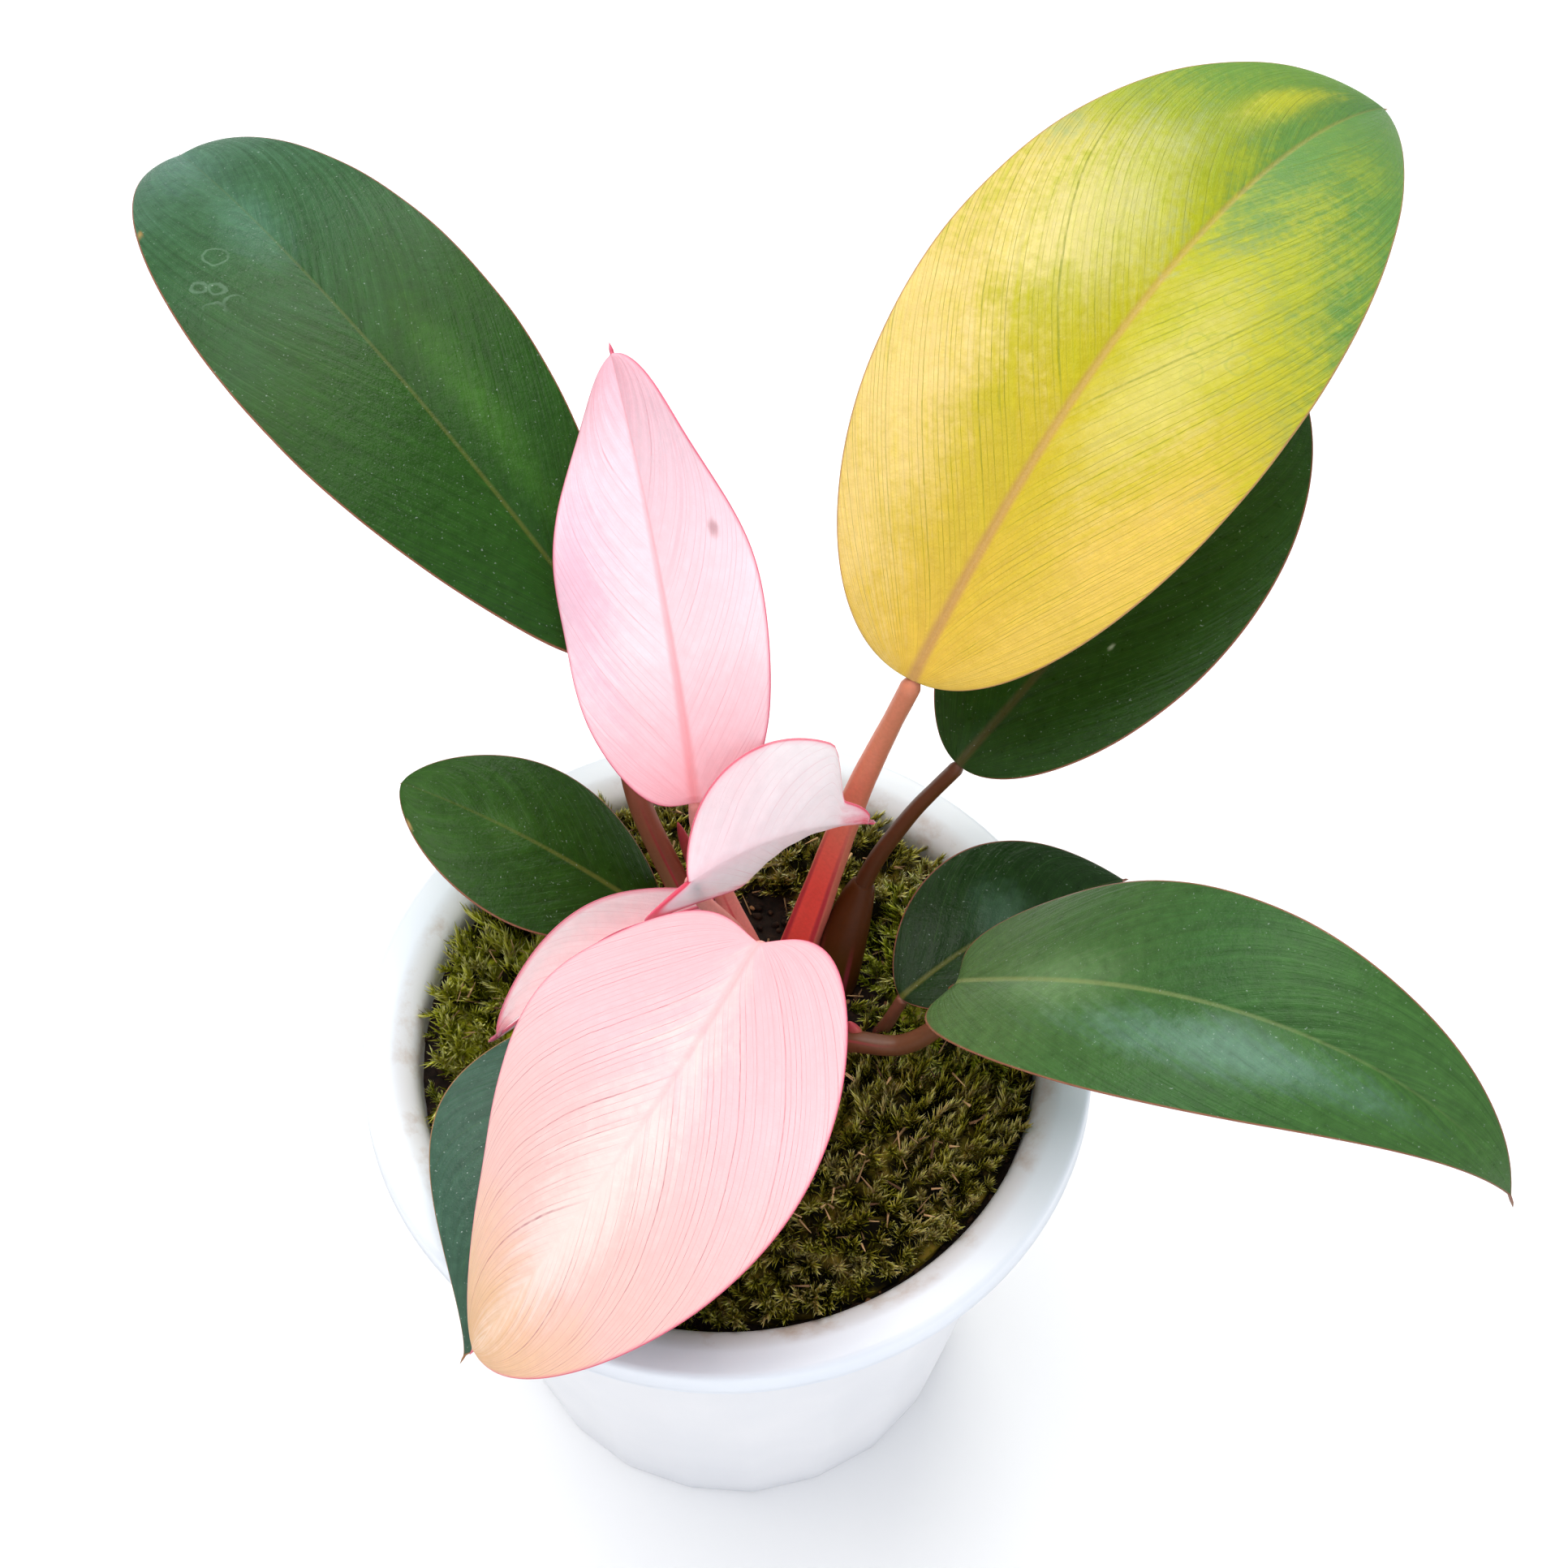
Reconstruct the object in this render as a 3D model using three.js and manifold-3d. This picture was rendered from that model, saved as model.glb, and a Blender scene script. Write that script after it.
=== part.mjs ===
// A potted pink congo philodendron: a young self-heading aroid whose new leaves open pink, turn
// yellow and then dark green. Its fleshy petioles rise from one short stem in a white plastic
// nursery pot, which is filled with soil and topped with pads of cushion moss.
// Millimetres, +Z up. The origin is the centre of the pot's foot, on the table.

import * as THREE from 'three';
import { mergeVertices } from 'three/addons/utils/BufferGeometryUtils.js';
import Module from 'manifold-3d';

const wasm = await Module();
wasm.setup();

// Clear space between two pieces that touch. A solid's copies, moved by MOVE along each axis, cover
// at least that space round it.
const GAP = 0.3;
const MOVE = 1.4 * GAP;

// The pot: a thin tapered shell with twenty-two soft flutes, a flat lip and a drop band under it.
const POT = {
  height: 128,
  rimRadius: 75,
  rimRound: 1.6,
  creaseRadius: 68.3,
  mouthRadius: 65.8,
  mouthDrop: 2,
  bandHeight: 7,
  bodyTopRadius: 68,
  footRadius: 54,
  footChamfer: 1.5,
  wall: 2.3,
  floor: 3,
  flutes: 22,
  fluteTurn: -85.5,
  fluteDepth: 0.9,
  segmentsPerFlute: 3,
  drainCount: 6,
  drainRadius: 4,
  drainRing: 34,
};

// The soil fills the pot to just under the lip and swells a little round the stem.
const SOIL = { edgeHeight: 119.5, swell: 2.5, lumps: 0.7, rings: 4, sectors: 28 };

// Cushion moss lies on the soil in pads, each a low mound crowded with pointed tufts. The mound's
// profile gives its rise, as a part of the pad's height, at parts of the way out to its edge.
const MOSS_TUFT = { spacing: 10, jitter: 3, radius: 4.2, height: 4.6, root: 2, sides: 4, lean: 0.5, seed: 7 };
const MOSS_MOUND = {
  sectors: 18, ragged: [0.9, 1.06], root: 4,
  profile: [[1, 0.12], [0.94, 0.4], [0.75, 0.68], [0.4, 0.82], [0, 0.86]],
};
const MOSS_PADS = [
  { name: 'moss_front', x: 24, y: -33, long: 41, wide: 26, turn: 24, height: 8 },
  { name: 'moss_front_left', x: -27, y: -35, long: 31, wide: 24, turn: -42, height: 6.5 },
  { name: 'moss_left', x: -44, y: 10, long: 24, wide: 17, turn: 82, height: 7.5 },
  { name: 'moss_back_left', x: -24, y: 44, long: 22, wide: 13, turn: 32, height: 6.5 },
  { name: 'moss_back_right', x: 22, y: 46, long: 24, wide: 14, turn: -24, height: 6.5 },
  { name: 'moss_right', x: 46, y: 14, long: 24, wide: 14, turn: 96, height: 6.5 },
];

// The short stem that every petiole grows from, seen as a stub with leaf scars.
const STEM = { x: 12, y: 11, radius: 3, foot: 100, top: 131 };

// Where the buried ends of the petioles lie.
const BURIED = 108;

// Blade thickness: the edge, the middle of each half, and the rib along the midrib, which is full on
// a blade of ribLength. Its faces are split at these places across and by these rows along it.
const BLADE = { edge: 0.7, middle: 0.9, ribUnder: 1.5, ribOver: 0.25, ribLength: 110, tipWidth: 0.5 };
const BLADE_COLUMNS = [-1, -0.8, -0.45, -0.1, 0, 0.1, 0.45, 0.8, 1];
const BLADE_ROWS = { large: 15, small: 11, largeLength: 90 };

// Stalks have a ring of corners about every step of their length, and a groove, where they have
// one, on the side that faces this way, towards the viewer in front of the pot.
const STALK = { sides: 8, step: 10, grooveSide: [-0.5, -0.86, 0.15] };

// Each leaf: where its blade starts, the course of its midrib, its outline and its folds.
//   base            where the petiole meets the blade
//   heading, sweep  compass angle of the midrib at the base, and how far it turns to the tip
//   rise, arch      slope of the midrib at the base, and how far it bends to the tip
//   bend            1 bends evenly, more keeps the bend near the tip
//   roll, twist     tilt of the blade about its midrib at the base, and its change to the tip
//   length, width   along the midrib and across the widest place
//   widest          that place, as a part of the length
//   full, point     roundness of the outline at the base and at the tip, less is rounder
//   left, right     width, widest, full and point of one half, where the halves differ
//   nick            place, reach and depth of a step in the left half's edge
//   tip             length of the fine drip tip, as a part of the length
//   foldLeft/Right  how far each half rises from the midrib, and with End at the tip
//   curl            how far each half bends back down towards its edge
//   wave, waves     height of the ripples of the edge, their number, and with phase their start
//   lobeLeft/Right  how far each half reaches behind the base, as a part of the length
//   petiole         the course of the leaf stalk from the soil up to the base
//   thick           radius of the stalk at the soil and at the blade
//   sheath          depth of the groove down its inner side, as a part of the radius
const LEAVES = [
  {
    name: 'green_tall_left', colour: '#3b6744', stalkColour: '#7c4a37',
    base: [-22, 48, 193], heading: 141, sweep: -16, rise: 44, arch: -61, bend: 1.15, roll: -4, twist: 2,
    length: 150, width: 56.5, widest: 0.52, full: 0.66, point: 0.42, right: [52.5, 0.52, 0.66, 0.42], tip: 0.03,
    foldLeft: 14, foldRight: 15, curl: -18, lobeLeft: 0.03, lobeRight: 0.03,
    petiole: [[-3, 20, 122], [-10, 26, 140], [-18, 34, 162], [-21, 43, 182]], thick: [3.2, 2.1], sheath: 0.3,
  },
  {
    name: 'pink_upright', colour: '#f7b9c4', stalkColour: '#ef9a90',
    base: [-5.2, 18.5, 181.5], heading: 101, sweep: 5, rise: 53, arch: -28, bend: 1.1, roll: -16, twist: -36,
    length: 90, width: 42.4, widest: 0.42, full: 0.69, point: 0.56, tip: 0.04,
    foldLeft: 18, foldRight: 18, curl: -16, lobeLeft: 0.03, lobeRight: 0.03,
    wave: 2.2, waves: 1.8, phase: -0.15,
    petiole: [[6, 18, 122], [-1, 23, 143], [-5.2, 21.5, 169]], thick: [3, 1.6], sheath: 0,
  },
  {
    name: 'yellow_large', colour: '#dccb55', stalkColour: '#d8603f',
    base: [35, 28, 207], heading: 58, sweep: -13, rise: 31, arch: -58, bend: 1.8, roll: -2, twist: 16,
    length: 176, width: 78, widest: 0.43, full: 0.56, point: 0.7, tip: 0.04,
    foldLeft: 17, foldRight: 17, curl: -20, lobeLeft: 0, lobeRight: 0,
    petiole: [[14, 19, 122], [19, 23, 145], [26, 28, 172]], thick: [5, 2], sheath: 0.45,
  },
  {
    name: 'green_tall_right', colour: '#2b5230', stalkColour: '#6b4433',
    base: [45, 27, 182], heading: 41, sweep: 16, rise: 29, arch: -32, bend: 1, roll: 2, twist: -8,
    length: 114, width: 53, widest: 0.44, full: 0.6, point: 0.75, tip: 0.03,
    foldLeft: 14, foldRight: 13, curl: -16, lobeLeft: 0, lobeRight: 0,
    petiole: [[23, 15, 122], [28, 24, 146], [36, 27, 164]], thick: [2.6, 1.5], sheath: 0,
  },
  {
    name: 'green_small_left', colour: '#2d5a26', stalkColour: '#6d4434',
    base: [-15, 18, 142], heading: 159, sweep: 2, rise: 32, arch: -26, bend: 1.35, roll: 6, twist: -14,
    length: 60, width: 37, widest: 0.48, full: 0.64, point: 0.6, tip: 0.03,
    foldLeft: 8, foldRight: 3, curl: -16, lobeLeft: 0.03, lobeRight: 0.03,
    petiole: [[-8, 11, 120], [-11, 15, 133]], thick: [2.2, 1.3], sheath: 0,
  },
  {
    name: 'pink_folded', colour: '#fbdde2', stalkColour: '#f3a79c',
    base: [-6.3, 0.2, 181.8], heading: 35.5, sweep: -14, rise: 10, arch: -44, bend: 1, roll: 68, twist: 30,
    length: 42.7, left: [37.2, 0.55, 0.71, 0.41], right: [36.2, 0.53, 1, 0.58], tip: 0.05,
    nick: [0.74, 0.05, 0.68],
    foldLeft: -24, foldRight: -5, foldLeftEnd: -12, foldRightEnd: -30, curl: -12, lobeLeft: 0, lobeRight: 0.3,
    petiole: [[5, 11, 122], [3, 8, 145]], thick: [2.6, 1.4], sheath: 0,
  },
  {
    name: 'pink_small_left', colour: '#f6bcc2', stalkColour: '#ee9c94',
    base: [-2.5, 15, 152], heading: 215.5, sweep: -0.5, rise: 2.6, arch: -11, bend: 1.1, roll: -25, twist: -4,
    length: 53, left: [33.8, 0.65, 1, 1.4], right: [27.9, 0.54, 0.75, 0.68], tip: 0.04,
    foldLeft: 130, foldRight: 27, foldLeftEnd: 93, foldRightEnd: 49, curl: -10, lobeLeft: 0.04, lobeRight: 0.04,
    petiole: [[-2, 14, 122], [-2, 15, 140]], thick: [2.2, 1.2], sheath: 0,
  },
  {
    name: 'pink_large', colour: '#f8c8cb', stalkColour: '#ee9a92',
    base: [7, -14, 184], heading: 243, sweep: -36, rise: 7, arch: -61, bend: 0.5, roll: 11, twist: -12,
    length: 99, width: 70, widest: 0.37, full: 1, point: 0.6, tip: 0.02,
    foldLeft: 14, foldRight: 4, curl: -14, lobeLeft: 0.07, lobeRight: 0.07,
    petiole: [[12, 3, 122], [12, -3, 150]], thick: [3, 1.8], sheath: 0,
  },
  {
    name: 'green_low_front', colour: '#35524a', stalkColour: '#64473a',
    base: [-4.5, 6, 139.5], heading: 247, sweep: -16, rise: 5.5, arch: -48, bend: 2, roll: -1, twist: -2,
    length: 96, width: 63, widest: 0.535, full: 0.7, point: 1.3, tip: 0.05,
    foldLeft: 12, foldRight: 6, curl: -14, lobeLeft: 0.03, lobeRight: 0.03,
    petiole: [[4, 5, 121], [1, 6, 132]], thick: [2.2, 1.4], sheath: 0,
  },
  {
    name: 'green_small_right', colour: '#28492f', stalkColour: '#6d4434',
    base: [35, 1, 138], heading: 36, sweep: -10, rise: 19, arch: -40, bend: 1, roll: 2, twist: 2,
    length: 58, width: 36, widest: 0.47, full: 0.68, point: 0.9, tip: 0.03,
    foldLeft: 16, foldRight: 14, curl: -14, lobeLeft: 0, lobeRight: 0,
    petiole: [[31, 3, 118], [33, 1, 129]], thick: [2, 1.3], sheath: 0,
  },
  {
    name: 'green_front_right', colour: '#406f47', stalkColour: '#8a5747',
    base: [45, -3, 151], heading: 330, sweep: 6, rise: 43, arch: -114, bend: 1.75, roll: 0, twist: 38,
    length: 133, width: 44, widest: 0.35, full: 0.78, point: 1.05, tip: 0.03,
    foldLeft: 10, foldRight: 16, curl: -16, lobeLeft: 0.05, lobeRight: 0.05,
    petiole: [[19, 1, 120], [25, -6, 133], [35, -8, 135], [43, -7, 143]], thick: [2.8, 1.9], sheath: 0.2,
  },
];

// Dry papery leaf sheath that still wraps the foot of one stalk, a spindle with a pointed end.
const CATAPHYLL = { stalk: 'green_tall_right', from: 0.05, to: 0.5, radius: 3.9, colour: '#5b3527' };

const { degToRad, lerp, clamp } = THREE.MathUtils;

// Repeatable random numbers from 0 to 1.
function seededRandom(seed) {
  let state = seed;
  return () => {
    state = (state * 1664525 + 1013904223) % 4294967296;
    return state / 4294967296;
  };
}

// A closed three.js geometry as a solid that can be joined and cut.
function toSolid(geometry) {
  const bare = geometry.clone();
  bare.deleteAttribute('normal');
  bare.deleteAttribute('uv');
  const merged = mergeVertices(bare, 1e-4);
  return new wasm.Manifold(new wasm.Mesh({
    numProp: 3,
    vertProperties: new Float32Array(merged.attributes.position.array),
    triVerts: new Uint32Array(merged.index.array),
  }));
}

// A solid with the clear space round it: its copies moved a little each way, joined to it.
function withClearance(solid) {
  const moves = [[MOVE, 0, 0], [0, MOVE, 0], [0, 0, MOVE]].flatMap((m) => [m, m.map((x) => -x)]);
  return wasm.Manifold.union([solid, ...moves.map((move) => solid.translate(move))]);
}

// The largest body of a cut solid, as a three.js geometry.
function toGeometry(solid) {
  const bodies = solid.decompose();
  const largest = bodies.reduce((a, b) => (b.volume() > a.volume() ? b : a));
  const mesh = largest.getMesh();
  const geometry = new THREE.BufferGeometry();
  geometry.setAttribute('position', new THREE.BufferAttribute(new Float32Array(mesh.vertProperties), 3));
  geometry.setIndex(new THREE.BufferAttribute(new Uint32Array(mesh.triVerts), 1));
  return geometry;
}

// A closed body from rings of points, each ring with as many points, ended by two single points.
function loftRings(rings, start, end) {
  const count = rings[0].length;
  const positions = [start, ...rings.flat(), end].flatMap((p) => [p.x, p.y, p.z]);
  const last = 1 + rings.length * count;
  const index = [];
  for (let k = 0; k < count; k += 1) {
    const next = (k + 1) % count;
    index.push(0, 1 + next, 1 + k);
    index.push(last, last - count + k, last - count + next);
    for (let row = 0; row < rings.length - 1; row += 1) {
      const a = 1 + row * count + k;
      const b = 1 + row * count + next;
      index.push(a, b, b + count, a, b + count, a + count);
    }
  }
  const geometry = new THREE.BufferGeometry();
  geometry.setAttribute('position', new THREE.Float32BufferAttribute(positions, 3));
  geometry.setIndex(index);
  return geometry;
}

// How far the pot's flutes draw in a point of the wall, between the corners of the sides.
function fluteFactor(angle, depth) {
  const side = (2 * Math.PI) / POT.flutes;
  const fromCorner = ((angle - degToRad(POT.fluteTurn)) / side) % 1;
  const across = Math.abs(((fromCorner + 1) % 1) - 0.5) * side;
  const polygon = Math.cos(side / 2) / Math.cos(across);
  return lerp(1, polygon, depth);
}

function makePot() {
  const p = POT;
  const bandFoot = p.height - p.bandHeight;
  const outline = [
    [0, 0], [p.footRadius - p.footChamfer, 0], [p.footRadius, p.footChamfer],
    [lerp(p.footRadius, p.bodyTopRadius, 0.5), bandFoot / 2],
    [lerp(p.footRadius, p.bodyTopRadius, 0.9), bandFoot * 0.9],
    [p.bodyTopRadius, bandFoot - 0.6], [p.rimRadius - 1, bandFoot - 0.6],
    [p.rimRadius, bandFoot], [p.rimRadius, p.height - p.rimRound],
    [p.rimRadius - p.rimRound * 0.3, p.height - p.rimRound * 0.3],
    [p.rimRadius - p.rimRound, p.height], [p.creaseRadius, p.height],
    [p.mouthRadius + 0.6, p.height - 0.8], [p.mouthRadius, p.height - p.mouthDrop],
    [p.footRadius - p.wall, p.floor], [0, p.floor],
  ];
  const segments = p.flutes * p.segmentsPerFlute;
  const profile = outline.map(([r, z]) => new THREE.Vector2(r, z));
  const geometry = new THREE.LatheGeometry(profile, segments, degToRad(p.fluteTurn));
  geometry.rotateX(Math.PI / 2);
  const position = geometry.attributes.position;
  for (let k = 0; k < position.count; k += 1) {
    const x = position.getX(k);
    const y = position.getY(k);
    const z = position.getZ(k);
    const radius = Math.hypot(x, y);
    const innerWall = lerp(p.footRadius, p.bodyTopRadius, z / bandFoot) - p.wall / 2;
    const isBody = z < bandFoot * 0.95 && radius > innerWall;
    if (isBody) {
      const factor = fluteFactor(Math.atan2(y, x), p.fluteDepth);
      position.setXYZ(k, x * factor, y * factor, z);
    }
  }
  let pot = toSolid(geometry);
  if (pot.volume() < 0) throw new Error('the pot is inside out');
  for (let k = 0; k < p.drainCount; k += 1) {
    const angle = (2 * Math.PI * k) / p.drainCount;
    const drain = new THREE.CylinderGeometry(p.drainRadius, p.drainRadius, p.floor * 3, 12);
    drain.rotateX(Math.PI / 2);
    drain.translate(p.drainRing * Math.cos(angle), p.drainRing * Math.sin(angle), p.floor / 2);
    pot = pot.subtract(toSolid(drain));
  }
  return pot;
}

// Height of the soil at a place in the pot.
function soilHeight(x, y) {
  const out = Math.hypot(x, y) / POT.mouthRadius;
  const lumps = Math.sin(x * 0.21 + 1) * Math.cos(y * 0.17 + x * 0.05) + Math.sin((x + y) * 0.11);
  return SOIL.edgeHeight + SOIL.swell * (1 - out * out) + SOIL.lumps * lumps * (1 - out);
}

// The soil's outer radius at a height, just inside the pot's wall.
function soilRadius(z) {
  const upper = POT.height - POT.mouthDrop;
  const share = (z - POT.floor) / (upper - POT.floor);
  return lerp(POT.footRadius - POT.wall, POT.mouthRadius, share) - GAP;
}

// The soil: a plug that follows the pot's wall, with a lumpy top.
function makeSoil() {
  const ring = (radius, heightAt) => Array.from({ length: SOIL.sectors }, (_, k) => {
    const angle = (2 * Math.PI * k) / SOIL.sectors;
    const x = radius * Math.cos(angle);
    const y = radius * Math.sin(angle);
    return new THREE.Vector3(x, y, heightAt(x, y));
  });
  const floor = POT.floor + GAP;
  const rings = [ring(soilRadius(floor) * 0.5, () => floor), ring(soilRadius(floor), () => floor)];
  rings.push(ring(soilRadius(60), () => 60));
  for (let k = 0; k < SOIL.rings; k += 1) {
    const radius = soilRadius(SOIL.edgeHeight) * (1 - k / SOIL.rings);
    rings.push(ring(radius, soilHeight));
  }
  const start = new THREE.Vector3(0, 0, floor);
  const end = new THREE.Vector3(0, 0, soilHeight(0, 0));
  return toSolid(loftRings(rings, start, end));
}

// One pointed tuft of moss, a leaning pyramid with its root sunk in the mound.
function mossTuft(x, y, z, random) {
  const size = lerp(0.75, 1.2, random());
  const length = MOSS_TUFT.height * size + MOSS_TUFT.root;
  const tuft = new THREE.ConeGeometry(MOSS_TUFT.radius * size, length, MOSS_TUFT.sides);
  tuft.rotateX(Math.PI / 2);
  tuft.rotateZ(random() * Math.PI);
  tuft.rotateX((random() - 0.5) * MOSS_TUFT.lean);
  tuft.rotateY((random() - 0.5) * MOSS_TUFT.lean);
  tuft.translate(x, y, z + MOSS_TUFT.height * size / 4);
  return toSolid(tuft);
}

// A pad of moss: an oval mound with a ragged edge, covered in tufts, cut to the soil under it.
function makeMossPad(pad, soilBelow, potInside) {
  const random = seededRandom(MOSS_TUFT.seed + pad.x * 31 + pad.y * 17);
  const turn = degToRad(pad.turn);
  const place = (across, along) => [
    pad.x + across * pad.long * Math.cos(turn) - along * pad.wide * Math.sin(turn),
    pad.y + across * pad.long * Math.sin(turn) + along * pad.wide * Math.cos(turn),
  ];
  const { sectors, root, profile } = MOSS_MOUND;
  const ragged = Array.from({ length: sectors }, () => lerp(...MOSS_MOUND.ragged, random()));
  const onSoil = ([x, y], rise) => new THREE.Vector3(x, y, soilHeight(x, y) + rise);
  const ring = (share, rise) => ragged.map((edge, k) => {
    const angle = (2 * Math.PI * k) / sectors;
    return onSoil(place(share * edge * Math.cos(angle), share * edge * Math.sin(angle)), rise);
  });
  const rings = profile.slice(0, -1).map(([share, rise]) => ring(share, rise * pad.height));
  const low = onSoil(place(0, 0), -root);
  const high = onSoil(place(0, 0), profile.at(-1)[1] * pad.height);
  const parts = [toSolid(loftRings([ring(profile[1][0], -root), ...rings], low, high))];
  const reach = Math.max(pad.long, pad.wide);
  for (let gx = -reach; gx <= reach; gx += MOSS_TUFT.spacing) {
    for (let gy = -reach; gy <= reach; gy += MOSS_TUFT.spacing) {
      const across = (gx + (random() - 0.5) * MOSS_TUFT.jitter) / pad.long;
      const along = (gy + (random() - 0.5) * MOSS_TUFT.jitter) / pad.wide;
      const share = Math.hypot(across, along);
      const [x, y] = place(across, along);
      if (share < profile[1][0]) {
        const mound = pad.height * 0.75 * Math.sqrt(1 - share ** 2);
        parts.push(mossTuft(x, y, soilHeight(x, y) + mound, random));
      }
    }
  }
  return wasm.Manifold.union(parts).subtract(soilBelow).intersect(potInside);
}

// The midrib's frames from base to tip: place, direction, side and face of the blade.
function makeMidrib(leaf) {
  const steps = 120;
  const frames = [];
  const point = new THREE.Vector3(...leaf.base);
  let before = null;
  for (let k = 0; k <= steps; k += 1) {
    const u = k / steps;
    const heading = degToRad(leaf.heading + leaf.sweep * u);
    const slope = degToRad(leaf.rise + leaf.arch * u ** leaf.bend);
    const roll = degToRad(leaf.roll + leaf.twist * u);
    const along = new THREE.Vector3(
      Math.cos(slope) * Math.cos(heading), Math.cos(slope) * Math.sin(heading), Math.sin(slope),
    );
    const level = new THREE.Vector3(-Math.sin(heading), Math.cos(heading), 0);
    const upright = new THREE.Vector3().crossVectors(along, level);
    const side = level.clone().multiplyScalar(Math.cos(roll)).addScaledVector(upright, Math.sin(roll));
    const face = level.clone().multiplyScalar(-Math.sin(roll)).addScaledVector(upright, Math.cos(roll));
    if (before) {
      const step = leaf.length / steps / 2;
      point.addScaledVector(before, step).addScaledVector(along, step);
    }
    frames.push({ point: point.clone(), along, side, face });
    before = along;
  }
  return (u) => {
    const at = clamp(u, 0, 1) * steps;
    const k = Math.min(Math.floor(at), steps - 1);
    const mix = (name) => frames[k][name].clone().lerp(frames[k + 1][name], at - k);
    return { point: mix('point'), along: mix('along'), side: mix('side'), face: mix('face') };
  };
}

// Half the blade's width at u, from 0 at the base to 1 at the tip.
function halfWidth(leaf, u, isLeft) {
  const even = [leaf.width, leaf.widest, leaf.full, leaf.point];
  const [width, widest, full, blunt] = (isLeft ? leaf.left : leaf.right) ?? even;
  const power = Math.log(0.5) / Math.log(widest);
  const share = Math.min(u / (1 - leaf.tip), 1);
  let body = Math.max(Math.sin(Math.PI * share ** power), 0) ** lerp(full, blunt, share);
  if (isLeft && leaf.nick) {
    const [place, reach, depth] = leaf.nick;
    body *= 1 - depth * THREE.MathUtils.smoothstep(u, place - reach, place + reach);
  }
  const dripTip = BLADE.tipWidth * Math.sqrt(1 - u) * Math.min(u / 0.2, 1);
  return (width / 2) * body + dripTip;
}

// A point of the blade's middle surface: u runs from base to tip, v from -1 (right edge) to 1 (left).
function bladePoint(leaf, midrib, u, v) {
  const { point, along, side, face } = midrib(u);
  const t = Math.abs(v);
  const half = halfWidth(leaf, u, v > 0);
  const [fromBase, atTip] = v > 0 ? [leaf.foldLeft, leaf.foldLeftEnd] : [leaf.foldRight, leaf.foldRightEnd];
  const fold = degToRad(lerp(fromBase, atTip ?? fromBase, u));
  const curl = degToRad(leaf.curl);
  const out = (Math.sin(fold + curl * t) - Math.sin(fold)) / curl;
  const up = (Math.cos(fold) - Math.cos(fold + curl * t)) / curl;
  const turns = (leaf.waves ?? 0) * u + (leaf.phase ?? 0);
  const ripple = (leaf.wave ?? 0) * t ** 3 * Math.sin(Math.PI * u)
    * Math.sin(2 * Math.PI * turns + (v > 0 ? 1.7 : 0));
  const lobe = (v > 0 ? leaf.lobeLeft : leaf.lobeRight) * leaf.length * t * t;
  const behind = lobe * (u / 0.06) * Math.exp(1 - u / 0.06);
  return point.addScaledVector(along, -behind)
    .addScaledVector(side, Math.sign(v) * out * half)
    .addScaledVector(face, up * half + ripple);
}

// The blade as a thin closed body. Both faces are split into triangles the same way.
function makeBlade(leaf, midrib) {
  const rows = leaf.length > BLADE_ROWS.largeLength ? BLADE_ROWS.large : BLADE_ROWS.small;
  const columns = BLADE_COLUMNS;
  const over = [];
  const under = [];
  for (let i = 0; i <= rows; i += 1) {
    const u = (1 - Math.cos((Math.PI * i) / rows)) / 2;
    const atEnd = i === 0 || i === rows;
    for (const v of atEnd ? [0] : columns) {
      const middle = bladePoint(leaf, midrib, u, v);
      const near = clamp(u, 0.02, 0.98);
      const inner = clamp(v, -0.9, 0.9);
      const alongStep = bladePoint(leaf, midrib, near + 0.01, v)
        .sub(bladePoint(leaf, midrib, near - 0.01, v));
      const acrossStep = bladePoint(leaf, midrib, near, inner + 0.1)
        .sub(bladePoint(leaf, midrib, near, inner - 0.1));
      const face = alongStep.cross(acrossStep).normalize();
      const thickness = lerp(BLADE.middle, BLADE.edge, Math.abs(v)) / 2;
      const rib = v === 0 ? (1 - u) ** 0.7 : 0;
      const ribSize = Math.min(1, leaf.length / BLADE.ribLength) * rib;
      over.push(middle.clone().addScaledVector(face, thickness + BLADE.ribOver * ribSize));
      under.push(middle.clone().addScaledVector(face, -thickness - BLADE.ribUnder * ribSize));
    }
  }
  const count = columns.length;
  const offset = over.length;
  const at = (row, column) => {
    if (row === 0) return 0;
    if (row === rows) return offset - 1;
    return 1 + (row - 1) * count + column;
  };
  const index = [];
  const bothFaces = (a, b, c) => {
    if (a === b || b === c || a === c) return;
    index.push(a, b, c, offset + a, offset + c, offset + b);
  };
  for (let i = 0; i < rows; i += 1) {
    for (let j = 0; j < count - 1; j += 1) {
      bothFaces(at(i, j), at(i + 1, j), at(i + 1, j + 1));
      bothFaces(at(i, j), at(i + 1, j + 1), at(i, j + 1));
    }
    const edges = [[at(i, 0), at(i + 1, 0)], [at(i + 1, count - 1), at(i, count - 1)]];
    for (const [a, b] of edges) {
      index.push(b, a, offset + a, b, offset + a, offset + b);
    }
  }
  const geometry = new THREE.BufferGeometry();
  const positions = [...over, ...under].flatMap((p) => [p.x, p.y, p.z]);
  geometry.setAttribute('position', new THREE.Float32BufferAttribute(positions, 3));
  geometry.setIndex(index);
  const solid = toSolid(geometry);
  if (solid.volume() < 0) throw new Error(`the blade ${leaf.name} is inside out`);
  return solid;
}

// The course of a leaf stalk, from its buried foot to the base of the blade.
function stalkCurve(leaf, midrib) {
  const { point, along, face } = midrib(0);
  const end = point.clone().addScaledVector(face, -0.4 * leaf.thick[1]).addScaledVector(along, 0.8);
  const [x, y] = leaf.petiole[0];
  const points = [new THREE.Vector3(x, y, BURIED)];
  points.push(...leaf.petiole.map((p) => new THREE.Vector3(...p)), end);
  return new THREE.CatmullRomCurve3(points, false, 'centripetal');
}

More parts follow.
